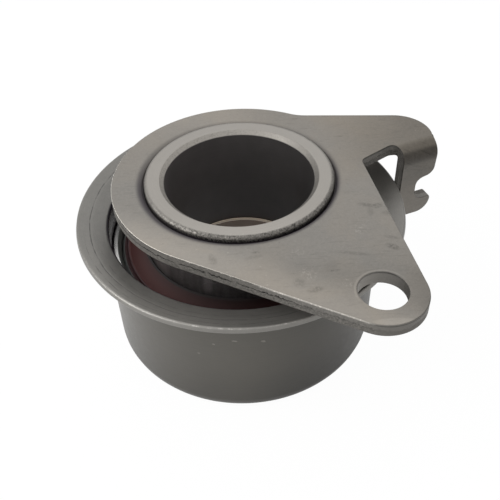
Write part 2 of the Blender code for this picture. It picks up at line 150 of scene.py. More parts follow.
class PlateSizes(bpy.types.PropertyGroup):
    sheet: length("Sheet", "Thickness of the plate's steel sheet", 3.0)
    top: length("Plate top", "How far the plate's top lies below the hub's head face", 0.8)
    roll_width: length("Rolled edge width", "How far the blanked edge is drawn in at the top", 0.22)
    roll_depth: length("Rolled edge depth", "How far the blanked edge is drawn down at the top", 0.26)
    burr_radius: length("Lower edge radius", "Rounding of the plate's lower edge", 0.18)
    lobe_radius: length("Lobe radius", "Radius of the lobe around the hub", 29.0)
    ear_x: length("Ear X", "Place of the ear's bolt hole", 26.25)
    ear_y: length("Ear Y", "Place of the ear's bolt hole", -37.35)
    ear_radius: length("Ear radius", "Outer radius of the bolt ear", 8.75)
    ear_hole: length("Ear hole radius", "Radius of the bolt hole", 4.9)
    head_gap: length("Head gap", "Gap between the hub's head and the plate's hole", 0.2)
    recess_width: length("Recess width", "Width of the groove pressed around the hub's head", 0.2)
    recess_depth: length("Recess depth", "Depth of the groove pressed around the hub's head", 0.8)
    recess_roll: length("Recess edge width", "How wide the groove's outer edge is rounded", 1.6)
    back_distance: length("Back edge distance", "Distance of the straight back edge from the axis", 25.82)
    back_turn: angle("Back edge turn", "Turn of the back edge about the axis", -4.6)
    back_fillet: length("Back fillet", "Radius where the back edge leaves the lobe", 10.0)
    arm_corner: length("Arm corner radius", "Outer corner above the folded tab", 8.64)
    arm_lean: angle("Arm side lean", "How far the arm's side leans out between the fold and its corner", 25.2)
    arm_side: length("Arm side start", "Where that side starts, outward of the fold's own line", 4.0)
    arm_knee: length("Arm side knee", "Rounding where the arm's side meets the tab's edge", 4.0)
    relief_turn: angle("Relief turn", "Direction of the relief slot's back wall", 34.5)
    relief_inner: length("Relief inner radius", "Corner of the relief slot beside the lobe", 1.8)
    relief_outer: length("Relief outer radius", "Corner of the relief slot beside the tab", 2.0)


class TabSizes(bpy.types.PropertyGroup):
    turn: angle("Fold turn", "Direction of the fold line", 20.0)
    face: length("Tab face", "Distance of the tab's outer face from the axis", 7.3)
    left: length("Tab start", "Where the tab starts along the fold line", 39.2)
    width: length("Tab width", "Width of the tab along the fold line", 9.78)
    taper: angle("Tab taper", "Lean of the tab's outer edge towards its end", 3.0)
    drop: length("Tab drop", "How far the tab hangs below the plate's top", 20.25)
    fold_radius: length("Fold radius", "Inner radius of the fold", 0.8)
    neutral: FloatProperty(name="Neutral share", description="Share of the sheet inside the unstretched layer",
                           default=0.4, min=0.0, max=1.0, subtype="FACTOR")
    hook_top: length("Hook top", "Where the spring notch starts below the plate's top", 8.7)
    hook_slope: length("Hook slope", "How much lower the notch's ceiling is at its root", 1.0)
    hook_gap: length("Hook gap", "Height of the spring notch", 7.05)
    hook_depth: length("Hook depth", "Depth of the spring notch", 5.28)
    lip_radius: length("Lip radius", "Rounding above the notch", 2.4)
    throat_radius: length("Throat radius", "Upper corner inside the notch", 2.1)
    floor_radius: length("Floor radius", "Lower corner inside the notch", 2.5)
    finger_inset: length("Finger inset", "How far the finger's tip stays back from the tab's edge", 0.45)
    finger_tip: length("Finger tip radius", "Upper corner of the finger's tip", 0.8)
    finger_end: length("Finger end radius", "Lower corner of the finger's tip", 3.6)
    corner_radius: length("Tab corner radius", "Lower inner corner of the tab", 1.0)


class HubSizes(bpy.types.PropertyGroup):
    bore: length("Bore radius", "Radius of the bore above the ledge", 17.1)
    bore_chamfer: length("Bore chamfer", "Chamfer at the mouth of the bore", 1.0)
    ledge_depth: length("Ledge depth", "Depth of the ledge inside the bore", 27.6)
    ledge_width: length("Ledge width", "Width of the ledge inside the bore", 0.8)
    head: length("Head radius", "Outer radius of the head that is rolled over the plate", 21.6)
    head_round: length("Head rounding", "Rounding of the head's worn outer edge", 0.8)
    shoulder: length("Shoulder radius", "Radius of the sleeve between plate and bearing", 23.0)
    seat: length("Seat radius", "Radius of the sleeve inside the bearing", 19.8)
    under_plate: length("Under the plate", "Depth at which the shoulder starts", 4.0)
    seat_depth: length("Seat depth", "Depth at which the bearing's seat starts", 16.75)
    end: length("Hub end", "Depth of the sleeve's lower end", 34.5)


class ShellSizes(bpy.types.PropertyGroup):
    sheet: length("Sheet", "Thickness of the drawn steel shell", 1.35)
    flange: length("Flange radius", "Outer radius of the flange", 38.45)
    flange_depth: length("Flange depth", "Depth of the flange's rim below the hub's head face", 8.85)
    tilt: angle("Flange tilt", "How far the flange rises outwards", 15.0)
    root: length("Flange root radius", "Radius between flange and drum, on the belt side", 1.0)
    mouth: length("Mouth radius", "Rounding of the corner between flange and bearing seat", 0.8)
    drum: length("Drum radius", "Outer radius of the belt drum", 32.5)
    drum_end: length("Drum end", "Depth of the drum's lower end", 45.0)
    foot: length("Drum end radius", "Rounding of the drum's lower end", 4.0)
    lip: length("Lip radius", "Inner radius of the turned-in lip", 26.5)


class BearingSizes(bpy.types.PropertyGroup):
    bore: length("Bearing bore radius", "Bore radius of the inner ring", 20.0)
    outside: length("Bearing outer radius", "Outer radius of the outer ring", 31.0)
    top: length("Bearing depth", "Depth of the bearing's upper face", 16.8)
    width: length("Bearing width", "Width of the bearing", 16.0)
    chamfer: length("Ring chamfer", "Chamfer of the rings' edges", 0.35)
    inner_shoulder: length("Inner shoulder", "Radius of the inner ring's rims", 23.6)
    outer_shoulder: length("Outer shoulder", "Radius of the outer ring's bore beside the groove", 27.4)
    recess: length("Seal recess", "Radius of the recess that holds a seal", 29.2)
    seal_depth: length("Seal depth", "Depth of a seal's rim below the ring's face", 1.9)
    seal_sheet: length("Seal thickness", "Thickness of a seal", 1.0)
    ball: length("Ball radius", "Radius of a ball", 3.175)
    balls: IntProperty(name="Balls", description="Number of balls in the row", default=14, min=3)


class FinishColours(bpy.types.PropertyGroup):
    plate: colour("Plate steel", "Rolled plate, satin", (0.142, 0.134, 0.122))
    hub: colour("Turned steel", "Machined hub", (0.191, 0.180, 0.164))
    bore: colour("Bore", "Dark oxide inside the bore", (0.045, 0.041, 0.040))
    shell: colour("Drawn steel", "Pressed pulley shell", (0.105, 0.101, 0.093))
    ring: colour("Bearing steel", "Ground rings and balls", (0.350, 0.346, 0.336))
    rubber: colour("Seal rubber", "Red-brown moulded rubber", (0.064, 0.0205, 0.0185))
    resin: colour("Cage resin", "Moulded ball cage", (0.42, 0.36, 0.25))
    floor: colour("Floor", "Pale stage floor", (0.90, 0.90, 0.90))


class StageSizes(bpy.types.PropertyGroup):
    floor_size: length("Floor size", "Half the width of the floor", 1500.0)
    lens: FloatProperty(name="Lens", description="Camera lens on a 36 mm sensor, in millimetres", default=50.4)
    key_power: FloatProperty(name="Key light", description="Power of the soft light at the left", default=3.8,
                             unit="POWER")
    top_power: FloatProperty(name="Top light", description="Power of the soft light above and behind",
                             default=1.1, unit="POWER")


class TensionerSettings(bpy.types.PropertyGroup):
    plate: PointerProperty(type=PlateSizes)
    tab: PointerProperty(type=TabSizes)
    hub: PointerProperty(type=HubSizes)
    shell: PointerProperty(type=ShellSizes)
    bearing: PointerProperty(type=BearingSizes)
    colours: PointerProperty(type=FinishColours)
    stage: PointerProperty(type=StageSizes)


class Signal:
    """One value or colour in a finish, so that sums of them read as plain expressions."""

    def __init__(self, finish, socket):
        self.finish = finish
        self.socket = socket

    def maths(self, operation, first, second=0.0):
        return self.finish.node("ShaderNodeMath", {"operation": operation}, {0: first, 1: second})

    def __add__(self, other):
        return self.maths("ADD", self, other)

    __radd__ = __add__

    def __sub__(self, other):
        return self.maths("SUBTRACT", self, other)

    def __rsub__(self, other):
        return self.maths("SUBTRACT", other, self)

    def __mul__(self, other):
        return self.maths("MULTIPLY", self, other)

    __rmul__ = __mul__

    def __truediv__(self, other):
        return self.maths("DIVIDE", self, other)

    def __pow__(self, other):
        return self.maths("POWER", self, other)

    def __abs__(self):
        return self.maths("ABSOLUTE", self)

    def cosine(self):
        return self.maths("COSINE", self)

    def __gt__(self, other):
        return self.maths("GREATER_THAN", self, other)

    def least(self, other):
        return self.maths("MINIMUM", self, other)

    def rise(self, low, high):
        """From 0 at low to 1 at high along a smooth curve; low may be above high."""
        return self.finish.node("ShaderNodeMapRange", {"interpolation_type": "SMOOTHSTEP"},
                                {"Value": self, "From Min": low, "From Max": high})

    def band(self, middle, half, soft):
        """1 near a middle value and 0 further off."""
        return abs(self - middle).rise(half + soft, half)


def varied(*parts):
    """1, plus each noise's departure from its middle times its weight."""
    total = 1.0
    for noise, weight in parts:
        total = total + (noise - 0.5) * weight
    return total


def tinted(tone, factors):
    return [part * factor for part, factor in zip(tone, factors)]


class Finish:
    """A node-based material, built from readings of the surface."""

    def __init__(self, name):
        old = bpy.data.materials.get(name)
        if old:
            bpy.data.materials.remove(old)
        self.material = bpy.data.materials.new(name)
        self.material.use_nodes = True
        self.tree = self.material.node_tree
        self.shader = self.tree.nodes["Principled BSDF"]

    def node(self, kind, settings=None, sockets=None, out=0):
        made = self.tree.nodes.new(kind)
        for name, value in (settings or {}).items():
            setattr(made, name, value)
        for key, value in (sockets or {}).items():
            if isinstance(value, Signal):
                self.tree.links.new(value.socket, made.inputs[key])
            else:
                made.inputs[key].default_value = value
        return Signal(self, made.outputs[out])

    def place(self):
        """Object coordinates in millimetres."""
        metres = self.node("ShaderNodeTexCoord", out="Object")
        return self.node("ShaderNodeVectorMath", {"operation": "SCALE"}, {0: metres, "Scale": 1 / MM})

    def reading(self, name, out="Fac"):
        """A value that the mesh carries."""
        return self.node("ShaderNodeAttribute", {"attribute_name": name}, out=out)

    def parts(self, vector):
        made = self.node("ShaderNodeSeparateXYZ", {}, {0: vector})
        outs = made.socket.node.outputs
        return [Signal(self, outs[i]) for i in range(3)]

    def vector(self, x, y, z=0.0):
        return self.node("ShaderNodeCombineXYZ", {}, {0: x, 1: y, 2: z})

    def around(self, place):
        """Radius, height and azimuth of a point about the spin axis."""
        x, y, z = self.parts(place)
        radius = (x * x + y * y) ** 0.5
        azimuth = y.maths("ARCTAN2", y, x)
        return radius, z, azimuth

    def noise(self, vector, scale, detail=3.0, rough=0.5, warp=0.0):
        return self.node("ShaderNodeTexNoise", {},
                         {"Vector": vector, "Scale": scale, "Detail": detail, "Roughness": rough,
                          "Distortion": warp})

    def stretched(self, vector, turn, along, across, detail=2.0, rough=0.5):
        """Noise drawn out along one direction, for rolling and scratch marks."""
        turned = self.node("ShaderNodeMapping", {},
                           {"Vector": vector, "Rotation": (0.0, 0.0, -turn), "Scale": (along, across, across)})
        return self.noise(turned, 1.0, detail, rough)

    def specks(self, vector, scale, size, share):
        """Small scattered spots: size as a share of their spacing, share of the places that have one."""
        cells = self.node("ShaderNodeTexVoronoi", {}, {"Vector": vector, "Scale": scale})
        tone = self.node("ShaderNodeSeparateColor", {}, {0: Signal(self, cells.socket.node.outputs["Color"])})
        return cells.rise(size, size * 0.45) * tone.rise(share + 0.01, share - 0.01)

    def blend(self, factor, first, second):
        def tone(value):
            return value if isinstance(value, Signal) else (*value, 1.0)
        return self.node("ShaderNodeMix", {"data_type": "RGBA"},
                         {0: factor, 6: tone(first), 7: tone(second)}, out=2)

    def shade(self, tone, amount):
        """A colour made lighter or darker by a value about 1."""
        grey = self.node("ShaderNodeCombineXYZ", {}, {0: amount, 1: amount, 2: amount})
        return self.node("ShaderNodeVectorMath", {"operation": "MULTIPLY"},
                         {0: tone if isinstance(tone, Signal) else tuple(tone), 1: grey})

    def done(self, tone, roughness, metallic, relief=None, relief_height=0.02):
        """Ends the finish; relief is a height in units of relief_height millimetres."""
        for name, value in (("Base Color", tone), ("Roughness", roughness), ("Metallic", metallic)):
            if isinstance(value, Signal):
                self.tree.links.new(value.socket, self.shader.inputs[name])
            else:
                self.shader.inputs[name].default_value = (*value, 1.0) if name == "Base Color" else value
        if relief is not None:
            bump = self.node("ShaderNodeBump", {}, {"Height": relief, "Strength": 1.0,
                                                    "Distance": relief_height * MM})
            self.tree.links.new(bump.socket, self.shader.inputs["Normal"])
        return self.material


def plate_steel_finish(colours, plate):
    """Rolled and blanked sheet: satin faces with smudges and dents, sheared edges in three bands; painted light
    and shade on the edges, the fold, the ear hole and in the groove.
    """
    finish = Finish("rolled plate steel")
    flat = finish.reading("flat_place", "Vector")
    depth = finish.reading("sheet_depth")
    wall = finish.reading("sheared")
    bend = finish.reading("bend")
    place = finish.place()

    clouds = finish.noise(flat, 0.07, 3.0, 0.55, 0.6)
    mottle = finish.noise(flat, 0.55, 4.0, 0.6, 0.3)
    fleck = finish.noise(flat, 1.7, 3.0, 0.7, 0.5)
    grain = finish.noise(place, 3.2, 3.0, 0.7)
    rolling = finish.stretched(flat, math.radians(20), 0.16, 2.4)
    cross = finish.stretched(flat, math.radians(-61), 0.20, 3.0)
    level = finish.stretched(flat, math.radians(2), 0.30, 2.2)
    scratches = rolling.rise(0.62, 0.70) * 0.6 + cross.rise(0.66, 0.73) * 0.5 + level.rise(0.64, 0.72) * 0.7
    dents = finish.specks(flat, 0.30, 0.085, 0.35)

    x, y = finish.parts(flat)[:2]
    smudge = 0.0
    for mark_x, mark_y, reach_x, reach_y, turn, weight in PLATE_MARKS:
        across_x = (x - mark_x) * math.cos(turn) + (y - mark_y) * math.sin(turn)
        across_y = (y - mark_y) * math.cos(turn) - (x - mark_x) * math.sin(turn)
        away = (across_x / reach_x) ** 2.0 + (across_y / reach_y) ** 2.0
        smudge = away.rise(1.6, 0.0) * weight + smudge
    smudge = smudge * fleck.rise(0.36, 0.6)

    pits = finish.specks(flat, 0.42, 0.10, 0.30)
    tone = varied((clouds, 0.26), (mottle, 0.22), (fleck, 0.30), (grain, 0.26))
    tone = tone - scratches * 0.17 - smudge * 0.60 + dents * 0.26 - pits * 0.16
    glints = 0.0
    for spot_x, spot_y, reach in PLATE_SCUFFS:
        away = (x - spot_x) ** 2.0 + (y - spot_y) ** 2.0
        glints = glints + away.rise(reach * reach, 0.5) * fleck.rise(0.54, 0.62)
    ear_x, ear_y = plate.ear_x / MM, plate.ear_y / MM
    ear_place = ((x - ear_x) ** 2.0 + (y - ear_y) ** 2.0) ** 0.5
    ear_front = (((x - 26.8) / 4.2) ** 2.0 + ((y + 45.2) / 0.9) ** 2.0).rise(1.4, 0.4)
    # Painted shade and highlight around the ear hole's far rim: a dark line at the edge, a light line outside
    # it
    hole_side = ((x - ear_x) * -0.5 + (y - ear_y) * 0.87).rise(-1.0, 3.0)
    hole_rim_light_and_shade = ear_place.band(5.02, 0.06, 0.08) * -0.40 + ear_place.band(5.42, 0.12, 0.14) * 0.22
    tone = tone + glints * 0.26 + ear_front * 0.22 + hole_rim_light_and_shade * hole_side
    # Painted shade: a dark line along the back edge of the arm
    back_reach = x * 0.0802 + y * 0.9968
    tone = tone - back_reach.band(25.35, 0.06, 0.15) * x.rise(14.0, 18.0) * 0.14
    tone = tone - x.rise(30.5, 34.5) * y.rise(-31.0, -34.0) * 0.14
    # Painted light and painted shade across the fold: a faint light stripe, then a dark streaky stripe running
    # onto the hanging tab, which is otherwise a little lighter
    stretched = bend.rise(0.10, 0.32) * bend.rise(0.62, 0.36)
    bend_shade = bend.rise(0.42, 0.62) * bend.rise(1.5, 0.70)
    bend_shade_streaks = 0.75 + rolling * 0.5
    tone = tone * (1.0 + stretched * 0.04 - bend_shade * 0.37 * bend_shade_streaks + bend.rise(0.9, 1.3) * 0.13)
    tone = tone - x.rise(18.0, 46.0) * y.rise(-6.0, 8.0) * 0.36 + y.rise(10.0, 26.0) * x.rise(10.0, -5.0) * 0.18
    front_rim = (x * -0.4785 + y * -0.878).rise(19.0, 28.0)
    tone = tone + 0.05 + front_rim * 0.42 - y.rise(-24.0, -34.0) * 0.12
    arm = x.rise(14.0, 34.0) * y.rise(-8.0, 8.0) * (1.0 - bend.rise(0.6, 1.2) * 0.8)
    brown = clouds.rise(0.35, 0.65) * 0.35 + arm * 0.75 + y.rise(8.0, 24.0) * 0.35 + front_rim * 0.3
    warm = finish.blend(brown.least(1.0), colours.plate, tinted(colours.plate, WARM_TINT))
    face = finish.shade(warm, tone)
    # Painted shade in the groove around the hub's head, strongest at the front and weak at the back; the groove
    # is also rougher and less metallic
    groove_radius = (x * x + y * y) ** 0.5
    groove = (groove_radius - x.rise(5.0, -20.0) * 0.5).rise(23.7, 22.1)
    groove = groove * groove
    face = finish.blend(groove * (0.16 + y.rise(14.0, -6.0) * 0.84), face, GROOVE_SHADE)

    along = finish.noise(flat, 0.8, 5.0, 0.65)
    fine = finish.noise(place, 2.2, 4.0, 0.8, 0.6)
    tear = 1.45 + (along - 0.5) * 1.7 + (fine - 0.5) * 0.7
    torn = (depth - tear).rise(-0.05, 0.10)
    crack = abs(depth - tear).rise(0.17, 0.03) * finish.noise(flat, 0.35, 2.0).rise(0.32, 0.48)
    shine = depth.rise(0.50, 0.20)
    nicks = finish.noise(flat, 1.1, 5.0, 0.8).rise(0.52, 0.66)
    # Painted highlight along the cut edge's top rounding: broken by nicks where the key light reaches it,
    # unbroken between about x 0 and 25 mm; painted shade along the rest
    lit_rim = x.rise(-22.0, -13.0) * x.rise(25.0, 22.0)
    highlight_span = x.rise(0.0, 7.0) * x.rise(25.0, 21.0)
    glint = nicks * (0.3 + lit_rim * 1.6) + highlight_span * (1.7 + nicks * 0.9) - (1.0 - lit_rim) * 0.20 - 0.32
    upright = bend.rise(1.2, 0.8)
    along_fold = x * 0.9397 + y * 0.342
    in_hook = along_fold.rise(42.0, 43.0) * (1.0 - upright)
    edge_tone = 1.0 + ((fine - 0.5) * 1.5 + (grain - 0.5) * 0.9 + shine * glint) * (1.0 - in_hook)
    edge_tone = edge_tone - torn * upright * (0.10 - (fine - 0.5) * 1.3)
    edge_tone = edge_tone - crack * upright * (0.25 + x.rise(14.0, 5.0) * 0.9)
    # Painted light on the cut edges of the hanging tab, less of it in the spring notch
    edge_tone = edge_tone * (1.0 + bend.rise(0.8, 1.2) * 0.35 - in_hook * 0.30)
    # Painted shade: a dark line just below the ear's top edge
    at_ear = y.rise(-30.5, -36.0) * x.rise(21.5, 25.0)
    ear_edge_shade = depth.band(0.34, 0.05, 0.08)
    edge_tone = edge_tone * (1.0 - at_ear) + at_ear * (1.0 + (fine - 0.5) * 0.5 - ear_edge_shade * 0.6)
    edge = finish.shade(colours.plate, edge_tone)
    # Painted light and shade on the ear hole's wall: lighter at the left, darker at the right and under the far
    # rim
    hole_lip = depth.rise(0.42, 0.12) * hole_side
    hole_wall_light_and_shade = finish.shade(colours.plate, 1.24 - (x - 26.3) * 0.13 + (grain - 0.5) * 0.3 - hole_lip * 0.65)
    edge = finish.blend(wall.rise(0.3, 0.9), hole_wall_light_and_shade, edge)

    rims = (wall > 0.02) * (groove_radius > 23.8)
    base = finish.blend(rims, face, edge)
    rough = 0.42 + (mottle - 0.5) * 0.16 + smudge * 0.12 + wall * torn * 0.22 + (wall > 0.02) * 0.14
    relief = grain * 0.5 + mottle * 0.5 + fleck * 0.6 - scratches * 0.45 - dents * 0.9
    relief = relief + wall * (1.0 - at_ear) * (fine * (0.6 + torn * 2.4) - crack * 2.2 - shine * nicks * 1.5)
    return finish.done(base, rough + groove * 0.3, 0.72 - groove * 0.6, relief, 0.022)


def turned_steel_finish(colours):
    """Machined hub: turned rings on the head, a worn outer edge with a painted highlight and painted shade
    below it, a dark bore with painted light and shade, a painted glint on its ledge, painted reflections on the
    sleeve and at the bore's foot.
    """
    finish = Finish("turned hub steel")
    place = finish.place()
    radius, height, azimuth = finish.around(place)
    rings = finish.noise(finish.vector(radius * 7.0, height * 7.0, azimuth * 0.5), 1.0, 3.0, 0.65)
    coarse = finish.noise(place, 0.22, 3.0, 0.5)
    grain = finish.noise(place, 3.0, 4.0, 0.7)

    head = finish.shade(colours.hub, varied((rings, 0.20), (coarse, 0.16), (grain, 0.12)))

    x, y = finish.parts(place)[:2]
    front = (x * 0.25 - y * 0.97).rise(-8.0, 19.0)
    speckle = finish.noise(place, 1.5, 5.0, 0.8, 0.4)
    rough_edge = radius + (speckle - 0.5) * 1.1
    worn = rough_edge.rise(20.6, 21.0) * (0.25 + front * 0.75)
    sunk = (height + (speckle - 0.5) * 0.4).rise(-0.55, -1.30)
    pits = finish.noise(place, 2.6, 3.0, 0.6).rise(0.50, 0.60)
    light = finish.noise(place, 1.9, 4.0, 0.75).rise(0.56, 0.68)
    rolled = 0.72 + (speckle - 0.5) * 2.0 - pits * (0.35 + sunk * 0.2) + light * 0.7 - sunk * 0.30
    head = finish.blend(worn, head, finish.shade(colours.hub, rolled))
    # Painted highlight along the top of the rolled edge, at the front
    lip_highlight = rough_edge.band(20.55, 0.08, 0.12) * light * front
    head = finish.shade(head, 1.0 + lip_highlight * 0.5)
    # Painted shade on the head's side down in the groove, stronger at the front
    skirt = (height + (speckle - 0.5) * 0.4).rise(-1.10, -1.45) * radius.rise(20.0, 20.5)
    head = finish.blend(skirt * (0.5 + front * 0.5), head, HEAD_SIDE_SHADE)

    below = height.rise(-3.6, -4.1)
    high = height.rise(-16.5, -14.5)
    # Painted reflections: a light band and a thin highlight running down the sleeve
    bands = azimuth.band(math.radians(-144), 0.07, 0.10) * 0.9
    bands = bands + azimuth.band(math.radians(-110), 0.02, 0.05) * high * 0.7
    streaks = finish.noise(finish.vector(azimuth * 22.0, height * 0.12), 1.0, 3.0, 0.6) - 0.5
    shaft = finish.shade(SHAFT_STEEL, 1.0 + (rings - 0.5) * 0.2 + streaks * 0.9 + bands)
    head = finish.blend(below * radius.rise(19.0, 19.6), head, shaft)

    inside = radius.rise(17.35, 17.15) * height.rise(-0.85, -1.05)
    # Painted light at the bore's left side and painted shade at its right side, through the term in x
    bore = finish.shade(colours.bore, (1.35 - x * 0.050) * varied((coarse, 0.4), (rings, 0.3)))
    mouth = radius.rise(18.25, 18.0) * (1.0 - inside)
    # Painted light and shade on the bore's chamfer: lighter towards the left and back, darker towards the right
    # and front
    turn_on = (azimuth - math.radians(135.0)).cosine()
    lit_mouth = turn_on.rise(-0.2, 0.9)
    mouth_tone = 1.0 + turn_on * 0.35 + lit_mouth * 0.40 + (speckle - 0.5) * 0.6 - pits * lit_mouth * 0.25
    head = finish.blend(mouth, head, finish.shade(colours.hub, mouth_tone))
    head = finish.shade(head, 1.0 + y.rise(-12.0, -21.0) * (height > -1.2) * 0.12)
    base = finish.blend(inside, head, bore)
    ledge = inside * height.band(-27.6, 0.05, 0.06)
    base = finish.blend(ledge, base, LEDGE_GLINT)
    # Painted reflection: the bore's foot below the ledge takes a light brown tone
    foot = inside * height.rise(-27.68, -27.78)
    base = finish.blend(foot, base, BORE_FOOT_REFLECTION)

    rough = 0.34 + (coarse - 0.5) * 0.12 + worn * 0.15 + inside * 0.12 + mouth * 0.25
    rough = rough - below * (1.0 - inside) * 0.10
    relief = rings * 0.7 + grain * 0.35 + worn * (speckle * 1.6 - pits * 1.5)
    return finish.done(base, rough, 0.85 - inside * 0.60, relief, 0.022)


def drawn_steel_finish(colours):
    """Pressed shell: fine turned lines, faint creases on the flange, nicks on the rim and the drum; painted
    light on the flange, a painted highlight on the rim, painted shade on the drum and inside.
    """
    finish = Finish("drawn shell steel")
    place = finish.place()
    radius, height, azimuth = finish.around(place)
    x, y = finish.parts(place)[:2]
    rings = finish.noise(finish.vector(radius * 4.5, height * 3.0, azimuth * 1.2), 1.0, 4.0, 0.65)
    clouds = finish.noise(place, 0.055, 3.0, 0.55, 0.5)
    mottle = finish.noise(place, 0.6, 4.0, 0.6)
    grain = finish.noise(place, 3.2, 3.0, 0.7)
    wander = (finish.noise(place, 0.16, 2.0) - 0.5) * 0.5

    flange = height.rise(-11.2, -10.7) * radius.rise(31.4, 31.7)
    inner = radius.rise(31.65, 31.35) * height.rise(-42.5, -41.5)
    broken = finish.noise(place, 0.45, 3.0, 0.6).rise(0.40, 0.56)
    front = y.rise(-4.0, -20.0) * x.rise(14.0, 2.0)
    crease = (radius + wander * 1.2).band(35.25, 0.03, 0.14) * (broken * 0.5 + 0.22) * x.rise(24.0, 12.0)
    crease = crease + (radius - wander * 1.6).band(36.6, 0.02, 0.14) * broken * front * 0.55
    crease = crease + (radius + wander * 2.2).band(33.9, 0.02, 0.16) * broken * front * 0.35
    scuffs = finish.noise(finish.vector(radius * 2.6, height * 2.6, azimuth * 9.0), 1.0, 4.0, 0.7)
    scuffs = scuffs.rise(0.56, 0.70)
    lighter = (radius + wander).rise(34.3, 35.1)
    rim = radius.band(38.05, 0.06, 0.08)
    rim_wall = radius.rise(38.15, 38.30) * y.rise(0.0, -20.0)
    nicks = finish.noise(place, 1.3, 4.0, 0.75).rise(0.50, 0.66)
    chips = finish.specks(place, 0.16, 0.09, 0.3) * (1.0 - flange) * 0.7
    for turn, level, wide, high in DRUM_CHIPS:
        aside = (azimuth - math.radians(turn)) * (32.5 / wide)
        aloft = (height - level) / high + aside * 0.3
        chips = chips + (aside * aside + aloft * aloft + (grain - 0.5) * 3.4).rise(1.1, 0.5)

    tone = varied((rings, 0.16), (clouds, 0.22), (mottle, 0.12), (grain, 0.12))
    # Painted light on the flange's front and right side, where the plate's shadow falls
    right_side = x.rise(10.0, 30.0) * (0.50 + radius.rise(35.0, 33.0) * 0.22)
    shaded_side_fill = flange * (y.rise(-8.0, -34.0) * 0.62 + right_side)
    flat_side = x.rise(14.0, 28.0)
    tone = tone + flange * (0.04 + lighter * (0.16 - flat_side * 0.20) - crease - scuffs * 0.08) + chips * 0.9
    # Painted highlight on the rim's front and painted shade on its outer wall there; lighter nicks along the
    # rim all round
    tone = tone + rim * y.rise(-22.0, -30.0) * (0.35 + nicks * 1.1) + rim * nicks * 0.35 - rim_wall * 0.16
    tone = tone + shaded_side_fill
    # Painted shade on the drum: all round, stronger towards the right and towards the bottom
    drum = height.rise(-11.0, -12.0) * radius.rise(31.8, 32.2)
    drum_shade = 0.19 + x.rise(-5.0, 18.0) * 0.25 - x.rise(20.0, 30.0) * 0.12 + height.rise(-24.0, -43.0) * 0.22
    tone = tone * (1.0 - drum * drum_shade)
    tone = tone + flange * ((mottle - 0.5) * 0.25 + (grain - 0.5) * 0.25)
    olive = finish.blend(drum * (0.55 + clouds * 0.7), colours.shell, tinted(colours.shell, OLIVE_TINT))
    base = finish.shade(olive, tone)
    # Painted shade inside the shell, with stripes of painted reflection
    stripes = finish.noise(finish.vector(height * 0.9, azimuth * 0.25), 1.0, 2.0, 0.5).rise(0.35, 0.65)
    wall = finish.blend(stripes, SHELL_INNER_SHADE, SHELL_SHEEN)
    base = finish.blend(inner, base, wall)
    rough = 0.38 + (mottle - 0.5) * 0.14 + rim * nicks * 0.1 - inner * 0.10
    relief = rings * 0.5 + grain * 0.4 + mottle * 0.5 - crease * 1.5 - rim * nicks * 2.0 - chips * 2.0
    return finish.done(base, rough, 0.50, relief, 0.020)


def ground_steel_finish(colours, name):
    """Ground bearing steel: bright faces with very fine circular lines; painted shade in the seal recess and in
    the gap under the seal.
    """
    finish = Finish(name)
    place = finish.place()
    radius, height, azimuth = finish.around(place)
    rings = finish.noise(finish.vector(radius * 9.0, height * 9.0, azimuth * 0.4), 1.0, 3.0, 0.6)
    stain = finish.noise(place, 0.35, 3.0, 0.5)
    # Painted shade in the outer ring's seal recess, dark and matt there
    well = radius.rise(30.00, 29.84) * radius.rise(27.0, 27.2)
    base = finish.shade(colours.ring, varied((rings, 0.14), (stain, 0.16)))
    base = finish.blend(well, base, RING_RECESS_SHADE)
    # Painted shade on the inner ring's rim, in the gap under the seal's lip
    gap_shade = radius.rise(24.2, 23.95) * abs(height + 24.8).rise(7.3, 7.6)
    base = finish.blend(gap_shade, base, RING_GAP_SHADE)
    rough = 0.28 + (stain - 0.5) * 0.10 + well * 0.4
    return finish.done(base, rough, 0.95 - well * 0.95, rings, 0.006)


def seal_rubber_finish(colours):
    """Moulded seal: red-brown web, dark outer rim, painted highlights on the bead and ridge, painted light and
    shade across the web, faint mould lines.
    """
    finish = Finish("moulded seal rubber")
    place = finish.place()
    radius, _, azimuth = finish.around(place)
    cloud = finish.noise(place, 0.12, 3.0, 0.5)
    grain = finish.noise(place, 4.0, 3.0, 0.7)
    lines = finish.noise(finish.vector(radius * 5.0, 0.0, azimuth * 0.3), 1.0, 2.0, 0.5)
    tone = varied((cloud, 0.30), (grain, 0.16), (lines, 0.12))
    # Painted light at the seal's left and painted shade at its right, under the plate; the web also darkens
    # towards the lip
    side = finish.parts(place)[0].rise(2.0, -24.0)
    tone = tone * (0.45 + radius.rise(23.4, 26.2) * 0.55 + radius.rise(25.2, 27.4) * side * 0.30)
    tone = tone * (0.34 + side * 0.40 + side * side * 0.70)
    web = finish.shade(colours.rubber, tone)
    web = finish.blend(radius.rise(23.75, 23.60), web, LIP_SHADOW)
    edge = finish.shade(SEAL_EDGE, tone)
    base = finish.blend(radius.rise(27.60, 27.72), web, edge)
    # Painted highlights on the rim's bead and on the ridge inside it
    bead = radius.rise(28.32, 28.44)
    base = finish.blend(bead, base, finish.shade(SEAL_BEAD_HIGHLIGHT, tone))
    ridge = radius.band(27.48, 0.10, 0.06)
    base = finish.blend(ridge * 0.7, base, SEAL_RIDGE_HIGHLIGHT)
    rough = 0.50 + (grain - 0.5) * 0.2
    finish.shader.inputs["Specular IOR Level"].default_value = 0.25
    return finish.done(base, rough, 0.0, grain * 0.6 + lines * 0.4, 0.012)


def cage_resin_finish(colours):
    """Moulded resin cage with a slight flow pattern."""
    finish = Finish("moulded cage resin")
    place = finish.place()
    flow = finish.noise(place, 0.3, 4.0, 0.6, 1.2)
    grain = finish.noise(place, 4.0, 3.0, 0.7)
    base = finish.shade(colours.resin, varied((flow, 0.3), (grain, 0.1)))
    return finish.done(base, 0.5 + (flow - 0.5) * 0.2, 0.0, grain, 0.015)


